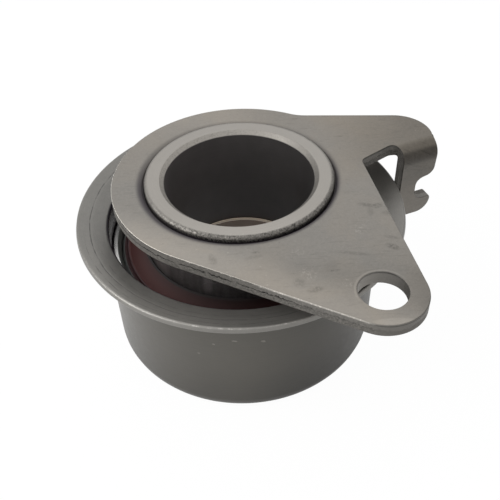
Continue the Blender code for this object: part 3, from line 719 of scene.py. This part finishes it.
def direction(turn):
    return Vector((math.cos(turn), math.sin(turn)))


def arc(centre, radius, start, end, spacing):
    """Points on an arc about centre, both ends included."""
    count = max(3, math.ceil(abs(end - start) * radius / spacing))
    turns = [start + (end - start) * i / count for i in range(count + 1)]
    return [centre + radius * direction(turn) for turn in turns]


def fillet(before, corner, after, radius, spacing):
    """Points of the arc that rounds one corner of an outline."""
    back = (before - corner).normalized()
    ahead = (after - corner).normalized()
    half = back.angle(ahead) / 2
    centre = corner + (back + ahead).normalized() * radius / math.sin(half)
    reach = radius / math.tan(half)
    first = corner + back * reach - centre
    last = corner + ahead * reach - centre
    start = math.atan2(first.y, first.x)
    sweep = (math.atan2(last.y, last.x) - start + math.pi) % (2 * math.pi) - math.pi
    return arc(centre, radius, start, start + sweep, spacing)


def line_crossing(point_a, along_a, point_b, along_b):
    share = (point_b - point_a).cross(along_b) / along_a.cross(along_b)
    return point_a + along_a * share


def spread_points(loop, longest):
    """A closed loop with its long straights divided."""
    points = []
    for i, point in enumerate(loop):
        after = loop[(i + 1) % len(loop)]
        count = max(1, math.ceil((after - point).length / longest))
        points += [point.lerp(after, k / count) for k in range(count)]
    return points


def without_doubles(loop, least=0.00002):
    kept = [loop[0]]
    for point in loop[1:]:
        if (point - kept[-1]).length > least:
            kept.append(point)
    if (kept[0] - kept[-1]).length < least:
        kept.pop()
    return kept


class TabFrame:
    """Where the tab's points lie on the flat blank and how they are folded."""

    def __init__(self, plate, tab):
        self.along = direction(tab.turn)
        self.across = direction(tab.turn - math.pi / 2)
        self.plate_top = -plate.top
        self.outer = tab.fold_radius + plate.sheet
        self.start = tab.face - self.outer
        self.length = (tab.fold_radius + tab.neutral * plate.sheet) * math.pi / 2
        self.root = tab.left - plate.relief_outer * 1.5
        self.right = tab.left + tab.width
        self.taper = math.tan(tab.taper)

    def on_tab(self, sideways, outward):
        return self.along * sideways + self.across * outward

    def unrolled(self, drop):
        return self.start + self.length + drop - self.outer

    def hanging(self, sideways, drop):
        return self.on_tab(sideways, self.unrolled(drop))

    def edge(self, outward):
        """The tab's outer edge, which leans in towards its end."""
        return self.on_tab(self.right - outward * self.taper, outward)

    def holds(self, place):
        flat = place.to_2d()
        return flat.dot(self.along) > self.root and flat.dot(self.across) > self.start + 1e-7

    def folded(self, place, normal):
        """A point of the blank and its normal, rolled about the fold line."""
        across = self.across.to_3d()
        reach = place.dot(across) - self.start
        rolled = min(reach, self.length)
        turn = rolled / self.length * math.pi / 2
        radius = self.outer - (self.plate_top - place.z)
        moved = place + across * (radius * math.sin(turn) - reach)
        moved.z = self.plate_top - self.outer + radius * math.cos(turn) - (reach - rolled)
        outward = normal.dot(across)
        tilted = normal + across * (outward * (math.cos(turn) - 1) + normal.z * math.sin(turn))
        tilted.z = normal.z * math.cos(turn) - outward * math.sin(turn)
        return moved, tilted


def blank_outline(plate, tab, frame_of_tab):
    """The plate's outline before the tab is folded, anticlockwise from the back fillet."""
    spacing = OUTLINE_SPACING
    axis = Vector((0.0, 0.0))
    ear = Vector((plate.ear_x, plate.ear_y))
    towards_ear = math.atan2(ear.y, ear.x)
    spread = math.acos((plate.lobe_radius - plate.ear_radius) / ear.length)
    front_normal = towards_ear - spread
    right_normal = towards_ear + spread
    back_normal = direction(plate.back_turn + math.pi / 2)
    back_along = direction(plate.back_turn)
    far = plate.lobe_radius + plate.back_fillet
    near = plate.back_distance + plate.back_fillet
    centre = back_normal * near + back_along * math.sqrt(far ** 2 - near ** 2)
    fillet_end = math.atan2(-centre.y, -centre.x)
    lobe_start = math.atan2(centre.y, centre.x)
    points = arc(centre, plate.back_fillet, plate.back_turn - math.pi / 2, fillet_end, spacing)
    points += arc(axis, plate.lobe_radius, lobe_start, front_normal + 2 * math.pi, spacing)[1:]
    points += arc(ear, plate.ear_radius, front_normal, right_normal, spacing)

    hang = frame_of_tab.hanging
    right = frame_of_tab.right
    edge = frame_of_tab.edge
    relief_root = plate.lobe_radius * direction(right_normal)
    relief_end = line_crossing(relief_root, direction(plate.relief_turn), frame_of_tab.on_tab(tab.left, 0),
                               frame_of_tab.across)
    knee = edge(plate.arm_side)
    leaning = direction(tab.turn + math.pi / 2 - plate.arm_lean)
    arm_corner = line_crossing(back_normal * plate.back_distance, back_along, knee, leaning)
    under = tab.hook_top + tab.hook_gap
    root = right - tab.hook_depth
    tip = right - tab.finger_inset
    corners = [
        (relief_root, plate.relief_inner),
        (relief_end, plate.relief_outer),
        (hang(tab.left, tab.drop), tab.corner_radius),
        (hang(tip, tab.drop), tab.finger_end),
        (hang(tip, under), tab.finger_tip),
        (hang(root, under), tab.floor_radius),
        (hang(root, tab.hook_top + tab.hook_slope), tab.throat_radius),
        (edge(frame_of_tab.unrolled(tab.hook_top)), tab.lip_radius),
        (knee, plate.arm_knee),
        (arm_corner, plate.arm_corner),
    ]
    stops = [points[-1]] + [corner for corner, radius in corners] + [points[0]]
    for i, (corner, radius) in enumerate(corners):
        points += fillet(stops[i], corner, stops[i + 2], radius, spacing)
    return spread_points(without_doubles(points), OUTLINE_LONGEST)


def upper_rounding(wide, deep, steps):
    """Steps over an edge's upper rounding: how far out, how deep, and the normal's outward and upward parts."""
    levels = []
    for i in range(steps + 1):
        turn = math.pi / 2 * i / steps
        out, up = math.sin(turn) / wide, math.cos(turn) / deep
        size = math.hypot(out, up)
        levels.append((wide * (math.sin(turn) - 1), deep * (1 - math.cos(turn)), out / size, up / size))
    return levels


def cut_levels(sheet, wide, deep, lower, steps):
    """Steps down a cut edge: its upper rounding, straight wall and lower rounding."""
    levels = upper_rounding(wide, deep, steps)
    wall_end = sheet - lower
    for share in (0.3, 0.6, 1.0):
        levels.append((0.0, deep + (wall_end - deep) * share, 1.0, 0.0))
    for i in range(1, 4):
        turn = math.pi / 2 * i / 3
        levels.append((lower * (math.cos(turn) - 1), wall_end + lower * math.sin(turn),
                       math.cos(turn), -math.sin(turn)))
    return levels


def recess_levels(plate):
    """Steps down the hole around the hub's head: a soft edge, the groove's floor and the hole's wall."""
    levels = upper_rounding(plate.recess_roll, plate.recess_depth * 0.85, 8)
    tiny = 0.02 * MM
    levels += [
        (0.0, plate.recess_depth - tiny, 1.0, 0.0),
        (tiny, plate.recess_depth, 0.0, 1.0),
        (plate.recess_width - tiny, plate.recess_depth, 0.0, 1.0),
        (plate.recess_width, plate.recess_depth + tiny, 1.0, 0.0),
        (plate.recess_width, plate.sheet - plate.burr_radius, 1.0, 0.0),
        (plate.recess_width - plate.burr_radius, plate.sheet, 0.0, -1.0),
    ]
    return levels


def sheet_part(name, loops, top, frame_of_tab, rows):
    """A sheet between closed loops, each with its own steps down the edge, folded along the tab."""
    bm = bmesh.new()
    normals = bm.verts.layers.float_vector.new("way")
    flats = bm.verts.layers.float_vector.new("flat_place")
    depths = bm.verts.layers.float.new("sheet_depth")
    walls = bm.verts.layers.float.new("sheared")
    bends = bm.verts.layers.float.new("bend")
    caps = {"top": [], "bottom": []}
    for loop, levels, shears in loops:
        count = len(loop)
        outward = []
        for i, point in enumerate(loop):
            before = (point - loop[i - 1]).normalized()
            after = (loop[(i + 1) % count] - point).normalized()
            mean = (before + after).normalized()
            outward.append(Vector((mean.y, -mean.x)) / max(0.5, mean.dot(after)))
        rings = []
        for out, depth, side, up in levels:
            ring = []
            for point, way in zip(loop, outward):
                place = point + way * out
                vert = bm.verts.new((place.x, place.y, top - depth))
                flat_way = way.normalized()
                vert[normals] = Vector((flat_way.x * side, flat_way.y * side, up)).normalized()
                vert[flats] = Vector((place.x, place.y, top - depth)) / MM
                vert[depths] = depth / MM
                vert[walls] = shears if abs(up) < 0.8 else 0.0
                ring.append(vert)
            rings.append(ring)
        for upper, lower in zip(rings, rings[1:]):
            for i in range(count):
                j = (i + 1) % count
                bm.faces.new((upper[i], lower[i], lower[j], upper[j]))
        for key, ring in (("top", rings[0]), ("bottom", rings[-1])):
            caps[key] += [bm.edges.get((ring[i], ring[(i + 1) % count])) for i in range(count)]
    for key, up in (("top", 1.0), ("bottom", -1.0)):
        bmesh.ops.triangle_fill(bm, edges=caps[key], use_beauty=True, use_dissolve=False, normal=(0.0, 0.0, up))
    bm.normal_update()
    across = frame_of_tab.across.to_3d()
    for row in range(rows + 1):
        faces = [face for face in bm.faces if any(frame_of_tab.holds(vert.co) for vert in face.verts)]
        edges = {edge for face in faces for edge in face.edges}
        verts = {vert for face in faces for vert in face.verts}
        height = frame_of_tab.start + frame_of_tab.length * row / rows
        bmesh.ops.bisect_plane(bm, geom=list(verts) + list(edges) + faces, dist=1e-7,
                               plane_co=across * height, plane_no=across)
    for vert in bm.verts:
        if frame_of_tab.holds(vert.co):
            vert[bends] = (vert.co.dot(across) - frame_of_tab.start) / frame_of_tab.length
            vert.co, vert[normals] = frame_of_tab.folded(vert.co, vert[normals])
    bmesh.ops.recalc_face_normals(bm, faces=bm.faces[:])
    bmesh.ops.triangulate(bm, faces=[face for face in bm.faces if len(face.verts) > 4])
    for face in bm.faces:
        face.smooth = True
    mesh = bpy.data.meshes.new(name)
    bm.to_mesh(mesh)
    bm.free()
    ways = [item.vector.copy() for item in mesh.attributes["way"].data]
    mesh.attributes.remove(mesh.attributes["way"])
    mesh.normals_split_custom_set_from_vertices([way.normalized() for way in ways])
    return mesh


def node_tree(name, given, result, kinds, links):
    """Geometry nodes from their inputs, their one output, the nodes by a short name, and their links."""
    tree = bpy.data.node_groups.new(name, "GeometryNodeTree")
    names = {title: tree.interface.new_socket(title, in_out="INPUT", socket_type="NodeSocket" + kind).identifier
             for title, kind in given.items()}
    tree.interface.new_socket(result, in_out="OUTPUT", socket_type="NodeSocketGeometry")
    nodes = {"given": tree.nodes.new("NodeGroupInput"), "result": tree.nodes.new("NodeGroupOutput")}
    for short, kind in kinds.items():
        nodes[short] = tree.nodes.new(kind)
    for link in links:
        start, end = (side.split(".") for side in link.split(" > "))
        tree.links.new(nodes[start[0]].outputs[start[1]], nodes[end[0]].inputs[end[1]])
    return tree, names, nodes


def turned_tree():
    """Geometry nodes that turn a profile, drawn as (radius - rail, -height), about the Z axis."""
    given = {"Profile": "Geometry", "Steps": "Int", "Rail radius": "Float", "Finish": "Material"}
    tree, names, nodes = node_tree("Turned form", given, "Form", {
        "wire": "GeometryNodeMeshToCurve",
        "rail": "GeometryNodeCurvePrimitiveCircle",
        "upright": "GeometryNodeSetCurveNormal",
        "sweep": "GeometryNodeCurveToMesh",
        "soft": "GeometryNodeSetShadeSmooth",
        "real": "GeometryNodeRealizeInstances",
        "coat": "GeometryNodeSetMaterial",
    }, (
        "given.Profile > wire.Mesh",
        "given.Steps > rail.Resolution",
        "given.Rail radius > rail.Radius",
        "rail.Curve > upright.Curve",
        "upright.Curve > sweep.Curve",
        "wire.Curve > sweep.Profile Curve",
        "sweep.Mesh > soft.Geometry",
        "soft.Geometry > real.Geometry",
        "real.Geometry > coat.Geometry",
        "given.Finish > coat.Material",
        "coat.Geometry > result.Form",
    ))
    nodes["upright"].mode = "Z_UP"
    return tree, names


def ball_tree():
    """Geometry nodes that set equal balls on a circle."""
    given = {"Geometry": "Geometry", "Count": "Int", "Pitch radius": "Float", "Height": "Float",
             "Ball radius": "Float", "Finish": "Material"}
    tree, names, nodes = node_tree("Ball row", given, "Row", {
        "circle": "GeometryNodeMeshCircle",
        "lift": "ShaderNodeCombineXYZ",
        "raised": "GeometryNodeTransform",
        "ball": "GeometryNodeMeshIcoSphere",
        "spread": "GeometryNodeInstanceOnPoints",
        "real": "GeometryNodeRealizeInstances",
        "soft": "GeometryNodeSetShadeSmooth",
        "coat": "GeometryNodeSetMaterial",
    }, (
        "given.Count > circle.Vertices",
        "given.Pitch radius > circle.Radius",
        "given.Height > lift.Z",
        "circle.Mesh > raised.Geometry",
        "lift.Vector > raised.Translation",
        "raised.Geometry > spread.Points",
        "given.Ball radius > ball.Radius",
        "ball.Mesh > spread.Instance",
        "spread.Instances > real.Geometry",
        "real.Geometry > soft.Geometry",
        "soft.Geometry > coat.Geometry",
        "given.Finish > coat.Material",
        "coat.Geometry > result.Row",
    ))
    nodes["ball"].inputs["Subdivisions"].default_value = 4
    return tree, names


def stood(name, data):
    """A new object of some data, put into the scene."""
    made = bpy.data.objects.new(name, data)
    bpy.context.scene.collection.objects.link(made)
    return made


def grown(name, source, tree, names, values):
    """A plain mesh object from a source mesh and a tree of geometry nodes, without empty material slots."""
    holder = stood(name + "_source", source)
    modifier = holder.modifiers.new("Form", "NODES")
    modifier.node_group = tree
    for key, value in values.items():
        modifier[names[key]] = value
    graph = bpy.context.evaluated_depsgraph_get()
    mesh = bpy.data.meshes.new_from_object(holder.evaluated_get(graph))
    mesh.name = name
    for i in reversed(range(len(mesh.materials))):
        if mesh.materials[i] is None:
            mesh.materials.pop(index=i)
    bpy.data.objects.remove(holder, do_unlink=True)
    bpy.data.node_groups.remove(tree)
    return stood(name, mesh)


def rounded_profile(corners, support=0.14 * MM):
    """Profile points for (radius, height, rounding) corners that run down the outer side."""
    points = []
    count = len(corners)
    for i, (x, y, rounding) in enumerate(corners):
        corner = Vector((x, y))
        before = Vector(corners[i - 1][:2])
        after = Vector(corners[(i + 1) % count][:2])
        if rounding > 0:
            bend = fillet(before, corner, after, rounding, max(0.06 * MM, rounding * 0.22))
        else:
            bend = [corner]
        into = (corner - before).normalized() * support
        out = (after - corner).normalized() * support
        if (bend[0] - before).length > support * 5:
            points.append(bend[0] - into)
        points += bend
        if (after - bend[-1]).length > support * 5:
            points.append(bend[-1] + out)
    return spread_points(without_doubles(points, 1e-6), PROFILE_LONGEST)


def turned_piece(name, corners, turns, finish):
    """A closed form turned from its profile's (radius, height, rounding) corners."""
    profile = rounded_profile(corners)
    mesh = bpy.data.meshes.new(name + "_profile")
    edges = [(i, (i + 1) % len(profile)) for i in range(len(profile))]
    mesh.from_pydata([(point.x - RAIL_RADIUS, -point.y, 0.0) for point in profile], edges, [])
    return grown(name, mesh, *turned_tree(), {"Steps": turns, "Rail radius": RAIL_RADIUS, "Finish": finish})


def settle(piece, body, slot, *nodes):
    """Puts a finished piece on its body, in place of the plain solids it stands for."""
    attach(piece, body)
    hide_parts(*nodes)


def stand_lamp(name, place, target, size, power):
    data = bpy.data.lights.new(name, "AREA")
    data.shape = "RECTANGLE"
    data.size, data.size_y = size
    data.energy = power
    lamp = stood(name, data)
    lamp.location = place
    lamp.rotation_euler = (Vector(target) - Vector(place)).to_track_quat("-Z", "Y").to_euler()


def seen_directly(tree, straight, mirrored, otherwise):
    """A level for what the eye sees straight, one for reflections and one for what lights a matt surface."""
    path = tree.nodes.new("ShaderNodeLightPath")
    total = otherwise
    for name, level in (("Is Camera Ray", straight), ("Is Glossy Ray", mirrored),
                        ("Is Transmission Ray", mirrored)):
        adder = tree.nodes.new("ShaderNodeMath")
        adder.operation = "MULTIPLY_ADD"
        tree.links.new(path.outputs[name], adder.inputs[0])
        adder.inputs[1].default_value = level - otherwise
        if isinstance(total, float):
            adder.inputs[2].default_value = total
        else:
            tree.links.new(total, adder.inputs[2])
        total = adder.outputs[0]
    return total


class TENSIONER_OT_stage(bpy.types.Operator):
    """Lay the pale floor, hang the soft lights and set the camera"""
    bl_idname = "tensioner.stage"
    bl_label = "Stage"

    def execute(self, context):
        settings = context.scene.tensioner
        stage = settings.stage
        half = stage.floor_size
        level = -settings.shell.drum_end
        mesh = bpy.data.meshes.new("floor")
        corners = ((-half, -half), (half, -half), (half, half), (-half, half))
        mesh.from_pydata([(x, y, level) for x, y in corners], [], [(0, 1, 2, 3)])
        floor = stood("floor", mesh)
        material = bpy.data.materials.new("pale floor")
        material.use_nodes = True
        tree = material.node_tree
        matt = tree.nodes["Principled BSDF"]
        matt.inputs["Base Color"].default_value = (*settings.colours.floor, 1.0)
        matt.inputs["Roughness"].default_value = 0.9
        matt.inputs["Specular IOR Level"].default_value = 0.0
        glow = tree.nodes.new("ShaderNodeEmission")
        glow.inputs["Color"].default_value = WHITE
        mix = tree.nodes.new("ShaderNodeMixShader")
        tree.links.new(seen_directly(tree, *FLOOR_LEVELS), mix.inputs[0])
        tree.links.new(matt.outputs[0], mix.inputs[1])
        tree.links.new(glow.outputs[0], mix.inputs[2])
        tree.links.new(mix.outputs[0], tree.nodes["Material Output"].inputs["Surface"])
        mesh.materials.append(material)

        world = bpy.data.worlds.new("soft room")
        context.scene.world = world
        world.use_nodes = True
        sky = world.node_tree
        back = sky.nodes["Background"]
        back.inputs["Color"].default_value = WHITE
        sky.links.new(seen_directly(sky, *SKY_LEVELS), back.inputs["Strength"])

        stand_lamp("key_light", *KEY_LIGHT, stage.key_power)
        stand_lamp("top_light", *TOP_LIGHT, stage.top_power)

        data = bpy.data.cameras.new("photo_camera")
        data.sensor_width = 36.0
        data.lens = stage.lens
        data.clip_start = 0.005
        camera = stood("photo_camera", data)
        turn = Matrix((CAMERA_RIGHT, CAMERA_UP, CAMERA_AWAY)).transposed().to_4x4()
        camera.matrix_world = Matrix.Translation(CAMERA_PLACE) @ turn
        context.scene.camera = camera
        context.scene.view_settings.view_transform = "Standard"
        return {"FINISHED"}


class TENSIONER_OT_bracket_plate(bpy.types.Operator):
    """Blank the plate with its ear, relief slot and spring hook, and fold its tab"""
    bl_idname = "tensioner.bracket_plate"
    bl_label = "Bracket plate"

    def execute(self, context):
        settings = context.scene.tensioner
        plate, tab = settings.plate, settings.tab
        frame_of_tab = TabFrame(plate, tab)
        outline = blank_outline(plate, tab, frame_of_tab)
        ear = Vector((plate.ear_x, plate.ear_y))
        ear_hole = arc(ear, plate.ear_hole, 2 * math.pi, 0.0, EAR_HOLE_SPACING)[:-1]
        groove = settings.hub.head + plate.head_gap + plate.recess_width
        hub_hole = arc(Vector((0.0, 0.0)), groove, 2 * math.pi, 0.0, HUB_HOLE_SPACING)[:-1]
        blanked = cut_levels(plate.sheet, plate.roll_width, plate.roll_depth, plate.burr_radius, 6)
        drilled = cut_levels(plate.sheet, HOLE_ROUNDING, HOLE_ROUNDING, HOLE_ROUNDING, 4)
        loops = [(outline, blanked, 1.0), (ear_hole, drilled, 0.2), (hub_hole, recess_levels(plate), 0.0)]
        mesh = sheet_part("dressed_plate", loops, -plate.top, frame_of_tab, FOLD_ROWS)
        mesh.materials.append(plate_steel_finish(settings.colours, plate))
        settle(stood("dressed_plate", mesh), "bracket", "plate_steel", "bracket_plate")
        return {"FINISHED"}


class TENSIONER_OT_hub_sleeve(bpy.types.Operator):
    """Turn the hub sleeve with its rolled head, stepped bore and bearing seat"""
    bl_idname = "tensioner.hub_sleeve"
    bl_label = "Hub sleeve"

    def execute(self, context):
        settings = context.scene.tensioner
        hub = settings.hub
        lower = hub.bore - hub.ledge_width
        corners = [
            (hub.head, 0.0, hub.head_round),
            (hub.head, -hub.under_plate, 0.05 * MM),
            (hub.shoulder, -hub.under_plate, 0.2 * MM),
            (hub.shoulder, -hub.seat_depth, 0.05 * MM),
            (hub.seat, -hub.seat_depth, 0.1 * MM),
            (hub.seat, -hub.end + 0.5 * MM, 0.1 * MM),
            (hub.seat - 0.5 * MM, -hub.end, 0.1 * MM),
            (lower, -hub.end, 0.15 * MM),
            (lower, -hub.ledge_depth, 0.06 * MM),
            (hub.bore, -hub.ledge_depth, 0.05 * MM),
            (hub.bore, -hub.bore_chamfer, 0.06 * MM),
            (hub.bore + hub.bore_chamfer, 0.0, 0.25 * MM),
        ]
        piece = turned_piece("dressed_hub", corners, HUB_TURNS, turned_steel_finish(settings.colours))
        settle(piece, "bracket", "turned_steel", "hub_sleeve")
        return {"FINISHED"}


class TENSIONER_OT_pulley_shell(bpy.types.Operator):
    """Press the pulley shell with its flared flange, belt drum and turned-in lip"""
    bl_idname = "tensioner.pulley_shell"
    bl_label = "Pulley shell"

    def execute(self, context):
        settings = context.scene.tensioner
        shell = settings.shell
        sheet = shell.sheet
        slope = direction(-math.pi + shell.tilt)
        rim = Vector((shell.flange, -shell.flange_depth)) + sheet * direction(shell.tilt - math.pi / 2)
        rim = rim + slope * (rim.x - shell.flange) / math.cos(shell.tilt)
        rim_top = rim - sheet * direction(shell.tilt - math.pi / 2)
        upright = Vector((0.0, 1.0))
        outer_root = line_crossing(rim, slope, Vector((shell.drum, 0.0)), upright)
        inner_root = line_crossing(rim_top, slope, Vector((shell.drum - sheet, 0.0)), upright)
        end = -shell.drum_end
        corners = [
            (rim_top.x, rim_top.y, 0.45 * MM),
            (rim.x, rim.y, 0.35 * MM),
            (outer_root.x, outer_root.y, shell.root),
            (shell.drum, end, shell.foot),
            (shell.lip, end, 0.3 * MM),
            (shell.lip, end + sheet, 0.3 * MM),
            (shell.drum - sheet, end + sheet, shell.foot - sheet),
            (inner_root.x, inner_root.y, shell.mouth),
        ]
        piece = turned_piece("dressed_shell", corners, SHELL_TURNS, drawn_steel_finish(settings.colours))
        settle(piece, "pulley", "drawn_steel", "pulley_shell")
        return {"FINISHED"}


def race_groove(bearing, shoulder, side):
    """Points of a race groove from its upper to its lower edge; side is 1 on the outer ring."""
    middle = -bearing.top - bearing.width / 2
    pitch = (bearing.bore + bearing.outside) / 2
    radius = bearing.ball * RACE_SHARE
    bottom = pitch + side * (bearing.ball + BALL_GAP)
    centre = bottom - side * radius
    half = math.acos((shoulder - centre) * side / radius)
    return [(centre + side * radius * math.cos(a), middle + radius * math.sin(a), 0.0)
            for a in [half - 2 * half * i / RACE_STEPS for i in range(RACE_STEPS + 1)]]


def turned_over(corners, bearing):
    """Profile corners mirrored about the bearing's middle plane, in reverse order."""
    middle = -bearing.top - bearing.width / 2
    return [(radius, 2 * middle - height, rounding) for radius, height, rounding in reversed(corners)]


class TENSIONER_OT_bearing_rings(bpy.types.Operator):
    """Turn the bearing's inner and outer rings with their grooves"""
    bl_idname = "tensioner.bearing_rings"
    bl_label = "Bearing rings"

    def execute(self, context):
        settings = context.scene.tensioner
        bearing = settings.bearing
        finish = ground_steel_finish(settings.colours, "ground ring steel")
        top = -bearing.top
        chamfer = bearing.chamfer
        upper = [
            (bearing.bore, top, chamfer),
            (bearing.inner_shoulder, top, chamfer),
        ]
        inner = upper + race_groove(bearing, bearing.inner_shoulder, -1) + turned_over(upper, bearing)
        piece = turned_piece("dressed_inner_ring", inner, INNER_RING_TURNS, finish)
        settle(piece, "bracket", "bearing_steel", "inner_ring")

        seat = top - bearing.seal_depth - bearing.seal_sheet - SEAL_SEAT_GAP
        inside = [
            (bearing.recess + 0.5 * MM, top, 0.08 * MM),
            (bearing.recess, top - 1.1 * MM, 0.2 * MM),
            (bearing.recess, seat, 0.1 * MM),
            (bearing.outer_shoulder, seat, 0.1 * MM),
        ]
        outside = [(bearing.outside, top, chamfer)]
        bore = inside + race_groove(bearing, bearing.outer_shoulder, 1) + turned_over(inside, bearing)
        outer = outside + turned_over(outside, bearing) + bore[::-1]
        piece = turned_piece("dressed_outer_ring", outer, OUTER_RING_TURNS, finish)
        settle(piece, "pulley", "bearing_steel", "outer_ring")
        return {"FINISHED"}


class TENSIONER_OT_seals(bpy.types.Operator):
    """Mould the two rubber seals with rim bead, groove, ridge, coned web and lip"""
    bl_idname = "tensioner.seals"
    bl_label = "Seals"

    def execute(self, context):
        settings = context.scene.tensioner
        bearing = settings.bearing
        finish = seal_rubber_finish(settings.colours)
        top = -bearing.top
        rim = bearing.recess - SEAL_SEAT_GAP
        lip = settings.hub.shoulder + SEAL_LIP_GAP
        rim_top = top - bearing.seal_depth
        lip_top = top + SEAL_LIP_HEIGHT
        under = bearing.seal_sheet
        over_ring = bearing.inner_shoulder + SEAL_RUNNING_GAP
        slope = (lip_top - rim_top) / (rim - lip)
        corners = [
            (rim, rim_top - 0.3 * MM, 0.1 * MM),
            (rim, rim_top - under, 0.15 * MM),
            (rim - 0.6 * MM, rim_top - under, 0.1 * MM),
            (over_ring, top - under, 0.1 * MM),
            (over_ring, top + SEAL_UNDERSIDE, 0.0),
            (lip, top + SEAL_UNDERSIDE, 0.0),
            (lip, lip_top, 0.05 * MM),
        ]
        for radius, above, rounding in SEAL_STEPS:
            web = rim_top + slope * (rim - radius * MM)
            corners.append((radius * MM, web + above * MM, rounding * MM))
        for name, profile, node in (("dressed_seal_upper", corners, "seal_upper"),
                                    ("dressed_seal_lower", turned_over(corners, bearing), "seal_lower")):
            piece = turned_piece(name, profile, SEAL_TURNS, finish)
            settle(piece, "pulley", "seal_rubber", node)
        return {"FINISHED"}


class TENSIONER_OT_ball_row(bpy.types.Operator):
    """Set the row of balls between the rings and finish their cage"""
    bl_idname = "tensioner.ball_row"
    bl_label = "Ball row and cage"

    def execute(self, context):
        settings = context.scene.tensioner
        bearing = settings.bearing
        row = grown("dressed_balls", bpy.data.meshes.new("ball_row_seed"), *ball_tree(), {
            "Count": bearing.balls,
            "Pitch radius": (bearing.bore + bearing.outside) / 2,
            "Height": -bearing.top - bearing.width / 2,
            "Ball radius": bearing.ball,
            "Finish": ground_steel_finish(settings.colours, "ground ball steel"),
        })
        settle(row, "ball_set", "bearing_steel", *[f"ball_{i + 1:02d}" for i in range(bearing.balls)])
        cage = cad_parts["ball_cage"]
        resin = cage_resin_finish(settings.colours)
        for holder in cage.material_slots:
            holder.material = resin
        return {"FINISHED"}


OPERATORS = (
    TENSIONER_OT_stage,
    TENSIONER_OT_bracket_plate,
    TENSIONER_OT_hub_sleeve,
    TENSIONER_OT_pulley_shell,
    TENSIONER_OT_bearing_rings,
    TENSIONER_OT_seals,
    TENSIONER_OT_ball_row,
)


class TENSIONER_PT_pieces(bpy.types.Panel):
    """Lists the pieces of the tensioner pulley"""
    bl_idname = "TENSIONER_PT_pieces"
    bl_label = "Tensioner pulley"
    bl_space_type = "VIEW_3D"
    bl_region_type = "UI"
    bl_category = "Tensioner"

    def draw(self, context):
        for kind in OPERATORS:
            self.layout.operator(kind.bl_idname)
        settings = context.scene.tensioner
        for group in (settings.plate, settings.tab, settings.hub, settings.shell, settings.bearing,
                      settings.colours, settings.stage):
            box = self.layout.box()
            for name in group.bl_rna.properties.keys():
                if name not in ("rna_type", "name"):
                    box.prop(group, name)


GROUPS = (PlateSizes, TabSizes, HubSizes, ShellSizes, BearingSizes, FinishColours, StageSizes,
          TensionerSettings)


def register():
    for kind in GROUPS + OPERATORS + (TENSIONER_PT_pieces,):
        bpy.utils.register_class(kind)
    bpy.types.Scene.tensioner = PointerProperty(type=TensionerSettings)


def unregister():
    del bpy.types.Scene.tensioner
    for kind in reversed(GROUPS + OPERATORS + (TENSIONER_PT_pieces,)):
        bpy.utils.unregister_class(kind)


def main():
    register()
    bpy.ops.tensioner.stage()
    bpy.ops.tensioner.bracket_plate()
    bpy.ops.tensioner.hub_sleeve()
    bpy.ops.tensioner.pulley_shell()
    bpy.ops.tensioner.bearing_rings()
    bpy.ops.tensioner.seals()
    bpy.ops.tensioner.ball_row()


if __name__ == "__main__":
    main()
